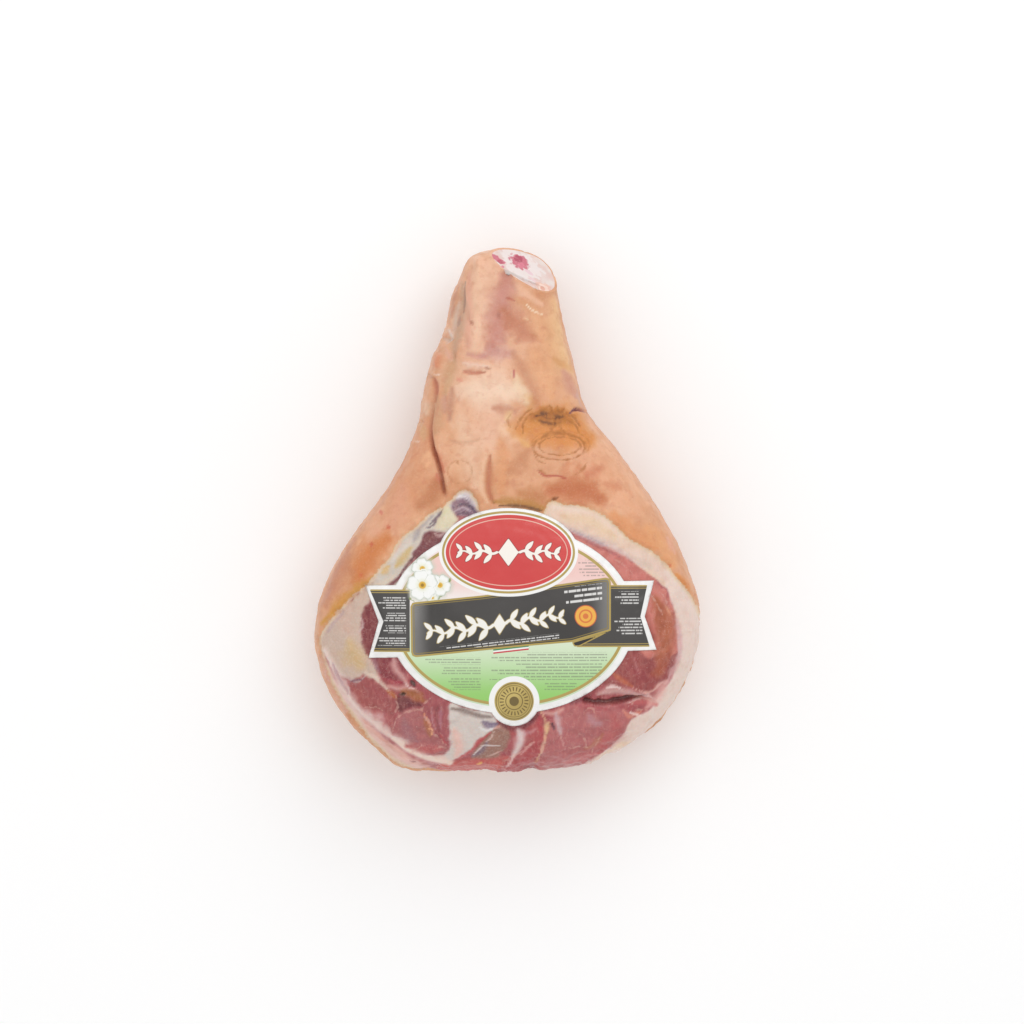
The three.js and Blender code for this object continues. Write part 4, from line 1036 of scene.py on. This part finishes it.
# ---- Label -----------------------------------------------------------------------------------------------
# Laminated paper, printed in colour and die cut round an oval with a forked ribbon, a medallion and a seal,
# then stuck on the lean under the vacuum film. All its ornaments are generic: no words, names or marks.

LABEL_STEP = 1.15  # face size
LABEL_RISE = 0.35  # above the meat
LABEL_THICKNESS = 0.4
RIBBON = [(-76, -73), (-74, -72.5), (-20, -67), (77, -53), (80, -54), (81, -57), (81, -95), (50, -104),
          (15, -107), (-73, -116), (-76, -115), (-77, -112), (-77.5, -76)]
RIBBON_CURL = [(50, -104), (81, -95), (56, -107.5), (52, -107.5)]
LEFT_TAIL = [(-110, -62.5), (-78, -62.5), (-78, -112), (-107, -112), (-99, -88)]
RIGHT_TAIL = [(70, -59), (110, -59), (104.5, -84), (112, -108), (54, -108)]
BLOSSOMS = [(-68, -46, 9), (-54, -59, 9), (-60, -69, 5), (-68, -59, 12.5)]
ROUND_MARK = (61, -83.5, 8.8)


def oval_outline(oval, steps=240):
    x, y, wide, tall = oval
    turn = np.linspace(0, 2 * np.pi, steps, endpoint=False)
    return np.column_stack([x + wide * np.cos(turn), y + tall * np.sin(turn)])


def straight(points, step):
    """Points along straight edges, no more than step apart."""
    corners = np.array([*points, points[0]], float)
    pieces = []
    for a, b in zip(corners, corners[1:]):
        share = np.linspace(0, 1, int(np.linalg.norm(b - a) / step) + 2)[:-1, None]
        pieces.append(a + (b - a) * share)
    return np.vstack(pieces)


# The outline is where the four shapes' own edges aren't covered by another shape.
OUTLINE_STEPS = ((LABEL_OVAL, 480), (LABEL_MEDALLION, 260), (LABEL_SEAL, 110))
shapes = [oval_outline(oval, steps) for oval, steps in OUTLINE_STEPS]
shapes.append(straight(LABEL_TAILS, LABEL_STEP))
rim = np.vstack([shape[in_label(shape) < 0.02] for shape in shapes])
across, along = np.meshgrid(np.arange(-116, 120, LABEL_STEP), np.arange(-173, 4, LABEL_STEP * 0.87))
across[::2] += LABEL_STEP / 2
grid = np.column_stack([across.ravel(), along.ravel()])
grid = grid[in_label(grid) > 0.55 * LABEL_STEP]
flat = np.vstack([rim, grid])
triangles = delaunay_2d_cdt([Vector(p) for p in flat], [], [], 0, 1e-4)
flat = np.array([tuple(p) for p in triangles[0]])
corners = np.array(triangles[2])
centres = flat[corners].mean(1)
sides = np.stack([flat[corners[:, (k + 1) % 3]] - flat[corners[:, k]] for k in range(3)], 1)
longest = np.linalg.norm(sides, axis=2).max(1)
corners = corners[(in_label(centres) > 0) & (longest < 3 * LABEL_STEP)]

tree = BVHTree.FromObject(ham, bpy.context.evaluated_depsgraph_get())
heights = np.array([tree.ray_cast(Vector((x * MM, y * MM, 0.3)), Vector((0, 0, -1)))[0].z for x, y in flat])
label_mesh = bpy.data.meshes.new("die_cut_label")
label_places = np.column_stack([flat * MM, heights + (LABEL_RISE + LABEL_THICKNESS) * MM])
label_mesh.from_pydata(label_places.tolist(), [], corners.tolist())
label = bpy.data.objects.new("die_cut_label", label_mesh)
bpy.context.scene.collection.objects.link(label)
add_attribute(label, "edge_mm", in_label(flat))
add_attribute(label, "oval_mm", in_oval(flat, LABEL_OVAL))
add_attribute(label, "medallion_mm", in_oval(flat, LABEL_MEDALLION))
add_attribute(label, "seal_mm", in_oval(flat, LABEL_SEAL))
add_attribute(label, "ribbon_mm", inside(flat, straight(RIBBON + RIBBON[:1], 50)))
add_attribute(label, "curl_mm", inside(flat, straight(RIBBON_CURL + RIBBON_CURL[:1], 50)))
tails = [inside(flat, straight(tail + tail[:1], 50)) for tail in (LEFT_TAIL, RIGHT_TAIL)]
add_attribute(label, "tail_mm", np.maximum(*tails))
# Five broad petals lie round each blossom's eye, and a shade falls where two of them meet. Each blossom
# covers the ones before it.
petals, gaps, eyes = (np.full(len(flat), -50.0) for _ in range(3))
for x, y, radius in BLOSSOMS:
    from_eye = np.hypot(flat[:, 0] - x, flat[:, 1] - y)
    turn = np.arctan2(flat[:, 1] - y, flat[:, 0] - x) - 0.4 * x
    lobe = np.abs(np.cos(2.5 * turn))
    petal = radius * (0.8 + 0.2 * lobe**0.5 - 0.04 * np.cos(10 * turn)) - from_eye
    on_top = petal > 0
    gaps[on_top] = (lobe * from_eye)[on_top]
    eyes[on_top] = (0.22 * radius - from_eye)[on_top]
    petals = np.where(on_top, petal, np.maximum(petals, petal))
add_attribute(label, "petal_mm", petals)
add_attribute(label, "petal_gap_mm", gaps)
add_attribute(label, "eye_mm", eyes)

# White sprigs grow outwards from the middle of the ribbon and of the medallion: a wavy stem with pairs of
# leaves.
sprigs = np.full(len(flat), -50.0)


def sprig(start, end, swing, waves, stem, leaf):
    """Adds a wavy stem from start to end, with a leaf on each side of every half wave."""
    start, end = np.array(start, float), np.array(end, float)
    ahead = (end - start) / np.linalg.norm(end - start)
    aside = np.array([-ahead[1], ahead[0]])
    share = np.linspace(0, 1, 24 * waves)[:, None]
    line = start + (end - start) * share + aside * swing * np.sin(2 * np.pi * waves * share)
    off, passed = to_line(flat, line)
    np.maximum(sprigs, stem * (1 - 0.5 * passed) - np.abs(off), out=sprigs)
    for half_wave in range(2 * waves):
        at = start + (end - start) * (half_wave + 0.5) / (2 * waves)
        size = leaf * (1 - 0.3 * half_wave / (2 * waves))
        for side in (1, -1):
            axis = 1.1 * aside * side + ahead
            axis /= np.linalg.norm(axis)
            off = flat - at - aside * swing * np.sin(np.pi * (half_wave + 0.5)) - axis * size * 1.05
            lengthways, sideways = off @ axis / size, np.abs(off @ np.array([-axis[1], axis[0]]))
            half = 0.36 * size * (1 - np.clip(lengthways, -1, 1) ** 2) * (1 - 0.3 * lengthways)
            np.maximum(sprigs, half - sideways - 20 * np.maximum(np.abs(lengthways) - 1, 0), out=sprigs)


def lozenge(x, y, wide, tall):
    off = 1 - np.abs(flat[:, 0] - x) / wide - np.abs(flat[:, 1] - y) / tall
    np.maximum(sprigs, off * min(wide, tall) * 0.8, out=sprigs)


for middle, end, swing, waves, stem, leaf in [
    ((-12, -90.5), (-64, -97), 1.8, 3, 1.1, 6.2),
    ((-2, -89), (43, -82.5), 1.8, 3, 1.1, 5.4),
    ((-9, -33), (-40, -33), 1.2, 2, 1.0, 5.2),
    ((9, -33), (40, -33), 1.2, 2, 1.0, 5.2),
]:
    sprig(middle, end, swing, waves, stem, leaf)
for place in [(-7, -89.8, 5, 8), (0, -33, 8, 11)]:
    lozenge(*place)
add_attribute(label, "sprig_mm", sprigs)
apply_modifier(label, "SOLIDIFY", thickness=LABEL_THICKNESS * MM, offset=-1)
label.data.shade_flat()

paper, nodes, surface = new_material("laminated_printed_paper")
coords = add(nodes, "TexCoord").outputs["Object"]
axes = add(nodes, "SeparateXYZ", {0: coords}).outputs
x_mm, y_mm = (maths("MULTIPLY", axes[axis], 1000.0) for axis in ("X", "Y"))
CRISP = 0.18  # half the width of a printed edge


def inner(value, depth):
    """1 where value is more than depth, with a printed edge."""
    return mapped(value, depth - CRISP, depth + CRISP)


def band(value, low, high):
    return maths("SUBTRACT", inner(value, low), inner(value, high))


def rows(left, right, low, high, pitch, ink, level=None):
    """Rows of small dashes where such a label has its small print; they hold no letters."""
    level = level or y_mm
    step = maths("DIVIDE", level, pitch)
    row, number = maths("FRACT", step), maths("FLOOR", step)
    line = maths("MULTIPLY", mapped(row, 0.15, 0.3), mapped(row, 0.6, 0.75, 1, 0))
    across = maths("ADD", maths("DIVIDE", x_mm, 1.7), maths("MULTIPLY", number, 7.31))
    one_way = {"W": across, "Scale": 1.0, "Detail": 1.0}
    dashes = add(nodes, "TexNoise", one_way, noise_dimensions="1D").outputs["Fac"]
    shown = maths("MULTIPLY", maths("MULTIPLY", line, mapped(dashes, 0.36, 0.42)), ink)
    short = add(nodes, "TexWhiteNoise", {"W": number}, noise_dimensions="1D").outputs["Value"]
    start = maths("ADD", maths("MULTIPLY", short, 0.35 * (right - left)), float(left))
    area = maths("MULTIPLY", inner(maths("SUBTRACT", x_mm, start), 0), band(level, low, high))
    return maths("MULTIPLY", maths("MULTIPLY", shown, area), mapped(x_mm, right - CRISP, right + CRISP, 1, 0))


GOLD, CHARCOAL = "#b29a52", "#3a3735"
RIBBON_SLOPE = 0.115
oval_mm, medallion_mm, seal_mm = (stored(name) for name in ("oval_mm", "medallion_mm", "seal_mm"))
ribbon_mm, curl_mm, tail_mm = (stored(name) for name in ("ribbon_mm", "curl_mm", "tail_mm"))
petal_mm, petal_gap_mm, eye_mm = (stored(name) for name in ("petal_mm", "petal_gap_mm", "eye_mm"))
sprig_mm = stored("sprig_mm")

field = mixed(mapped(y_mm, -74, -50), "#f2ebe8", "#efc9c2")
field = mixed(mapped(y_mm, -70, -122), field, "#cfe3be")
field = mixed(mapped(y_mm, -108, -150), field, "#93cb68")
for block in [
    (55, 76, -52, -39, 2.5, 0.5),
    (-66, -22, -122, -116, 2.2, 0.5),
    (-54, -22, -130, -124, 2.2, 0.5),
    (-50, -22, -142, -132, 2.2, 0.5),
    (-15, 78, -119, -112, 2.3, 0.55),
    (-15, 74, -134, -121, 2.5, 0.55),
    (26, 54, -142, -136, 2.3, 0.5),
]:
    field = mixed(rows(*block), field, "#6f6b66")
printed = mixed(inner(oval_mm, 5.0), "#f3f2f0", mixed(0.5, field, "#f3f2f0"))
printed = mixed(inner(oval_mm, 8.0), printed, field)
printed = mixed(band(oval_mm, 6.2, 8.6), printed, GOLD)

# The stripe under the ribbon fades out to the left.
slope = maths("SUBTRACT", y_mm, maths("MULTIPLY", x_mm, RIBBON_SLOPE))
for low, colour in ((-109.5, "#2f8a57"), (-110.7, "#f3f2f0"), (-111.9, "#c9404a")):
    stripe = maths("MULTIPLY", band(slope, low, low + 1.2), band(x_mm, -12, 16))
    printed = mixed(stripe, printed, colour)

tails_colour = mixed(mapped(x_mm, -108, -78, 0, 0.5), CHARCOAL, "#4b4846")
for block in [
    (-104, -81, -78, -68, 2.0, 0.85),
    (-102, -81, -88, -81, 2.0, 0.85),
    (-101, -81, -97, -91, 2.0, 0.85),
    (-104, -81, -107, -100, 2.0, 0.85),
    (83, 103, -75, -64, 2.4, 0.85),
    (83, 106, -99, -85, 2.4, 0.85),
]:
    tails_colour = mixed(rows(*block), tails_colour, "#dddbd8")
for edge, way in ((-62.5, -1), (-112, 1), (-59, -1), (-108, 1)):
    side = maths("LESS_THAN", x_mm, 0.0) if edge in (-62.5, -112) else maths("GREATER_THAN", x_mm, 0.0)
    depth = maths("MULTIPLY", maths("SUBTRACT", y_mm, edge), float(way))
    for low, high in ((-0.5, 1.2), (2.2, 2.8)):
        tails_colour = mixed(maths("MULTIPLY", band(depth, low, high), side), tails_colour, GOLD)
printed = mixed(inner(tail_mm, 0), printed, tails_colour)
printed = mixed(mapped(petal_mm, -4, 0, 0, 0.5), printed, "#c8cdbb")
leafy = maths("MULTIPLY", mapped(noise_of(8, 2), 0.52, 0.58), inner(oval_mm, 8.6))
leaves = maths("MULTIPLY", inner(petal_mm, -2.6), leafy)
printed = mixed(leaves, printed, "#8c9a58")
petal_colour = mixed(mapped(petal_mm, 0.0, 2.0), "#ccd1c6", "#f5f5f2")
petal_colour = mixed(mapped(petal_gap_mm, 0.0, 1.4, 0.6, 0), petal_colour, "#bcc3b2")
petal_colour = mixed(mapped(eye_mm, -4, 0, 0, 0.5), petal_colour, "#dfe0b4")
printed = mixed(inner(petal_mm, 0), printed, petal_colour)
printed = mixed(mapped(eye_mm, -0.8, 0.4), printed, "#e0b13a")
printed = mixed(mapped(eye_mm, 0.8, 1.8, 0, 0.85), printed, "#8f6a1c")

sheen = maths("ADD", mapped(x_mm, -77, -60, 0.65, 0), mapped(x_mm, 62, 80, 0, 0.55))
ribbon_colour = mixed(sheen, CHARCOAL, "#9a9896")
ribbon_colour = mixed(mapped(noise_of(60, 1), 0.4, 0.65, 0, 0.25), ribbon_colour, "#5a5654")
ribbon_colour = mixed(inner(sprig_mm, -0.5), ribbon_colour, "#a8935a")
ribbon_colour = mixed(inner(sprig_mm, 0), ribbon_colour, "#f2efe8")
for block in [(44, 74, -79, -66, 4.2, 0.9, slope), (-56, 40, -105.5, -101.5, 2.0, 0.8, slope)]:
    ribbon_colour = mixed(rows(*block), ribbon_colour, "#e6e4e1")
from_mark = maths("SQRT", maths("ADD", *(
    maths("POWER", maths("SUBTRACT", value, float(at)), 2.0) for value, at in zip((x_mm, y_mm), ROUND_MARK)
)))
MARK_RINGS = [
    (ROUND_MARK[2], "#c9603a"),
    (8.1, "#ecb04a"),
    (5.4, "#d9773c"),
    (4.2, "#ecb04a"),
    (2.2, "#d9773c"),
]
for radius, colour in MARK_RINGS:
    ribbon_colour = mixed(mapped(from_mark, radius - CRISP, radius + CRISP, 1, 0), ribbon_colour, colour)
ribbon_colour = mixed(band(ribbon_mm, 0.0, 1.5), ribbon_colour, GOLD)
ribbon_colour = mixed(band(ribbon_mm, 2.4, 3.0), ribbon_colour, "#8d7a40")
printed = mixed(inner(ribbon_mm, 0), printed, ribbon_colour)
printed = mixed(inner(curl_mm, 0), printed, mixed(band(curl_mm, 0, 0.9), "#2b2826", GOLD))

red = mixed(mapped(noise_of(50, 1), 0.35, 0.7, 0, 0.3), "#cf3f3f", "#dd5a50")
red = mixed(inner(sprig_mm, -0.5), red, "#8f2c2a")
red = mixed(inner(sprig_mm, 0), red, "#f6efe6")
medal = mixed(inner(medallion_mm, 2.4), "#f3f2f0", GOLD)
medal = mixed(inner(medallion_mm, 4.2), medal, "#f3f2f0")
medal = mixed(inner(medallion_mm, 5.4), medal, red)
medal = mixed(band(medallion_mm, 8.2, 8.9), medal, "#e8b9a8")
printed = mixed(inner(medallion_mm, 0), printed, medal)

gold_foil = mixed(mapped(noise_of(22, 2), 0.4, 0.65), GOLD, "#c4ad63")
for low, high in ((5.4, 6.0), (7.2, 7.6), (13.0, 13.7)):
    gold_foil = mixed(band(seal_mm, low, high), gold_foil, "#6d5a26")
gold_foil = mixed(inner(seal_mm, 16.2), gold_foil, "#6d5a26")
from_seal = [maths("SUBTRACT", value, float(at)) for value, at in zip((x_mm, y_mm), LABEL_SEAL)]
turn = maths("MULTIPLY", maths("ARCTAN2", from_seal[1], from_seal[0]), 24.0)
ticks = maths("MULTIPLY", mapped(maths("SINE", turn), 0.2, 0.6), band(seal_mm, 8.6, 11.8))
gold_foil = mixed(ticks, gold_foil, "#6d5a26")
printed = mixed(inner(seal_mm, 0), printed, mixed(inner(seal_mm, 4.4), "#f3f2f0", gold_foil))
printed = mixed(mapped(stored("edge_mm"), 0.0, 0.5, 0.35, 0), printed, "#c9c5bf")
nodes.id_data.links.new(printed, surface.inputs["Base Color"])
nodes.id_data.links.new(mapped(noise_of(30, 3), 0.3, 0.7, 0.24, 0.38), surface.inputs["Roughness"])
bump = add(nodes, "Bump", {"Height": noise_of(14, 3), "Strength": 0.35, "Distance": 0.6 * MM})
nodes.id_data.links.new(bump.outputs["Normal"], surface.inputs["Normal"])
surface.inputs["Coat Weight"].default_value = 0.25
surface.inputs["Coat Roughness"].default_value = 0.15
label.data.materials.append(paper)
label.data.shade_smooth()
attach(label, "root")
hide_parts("label")
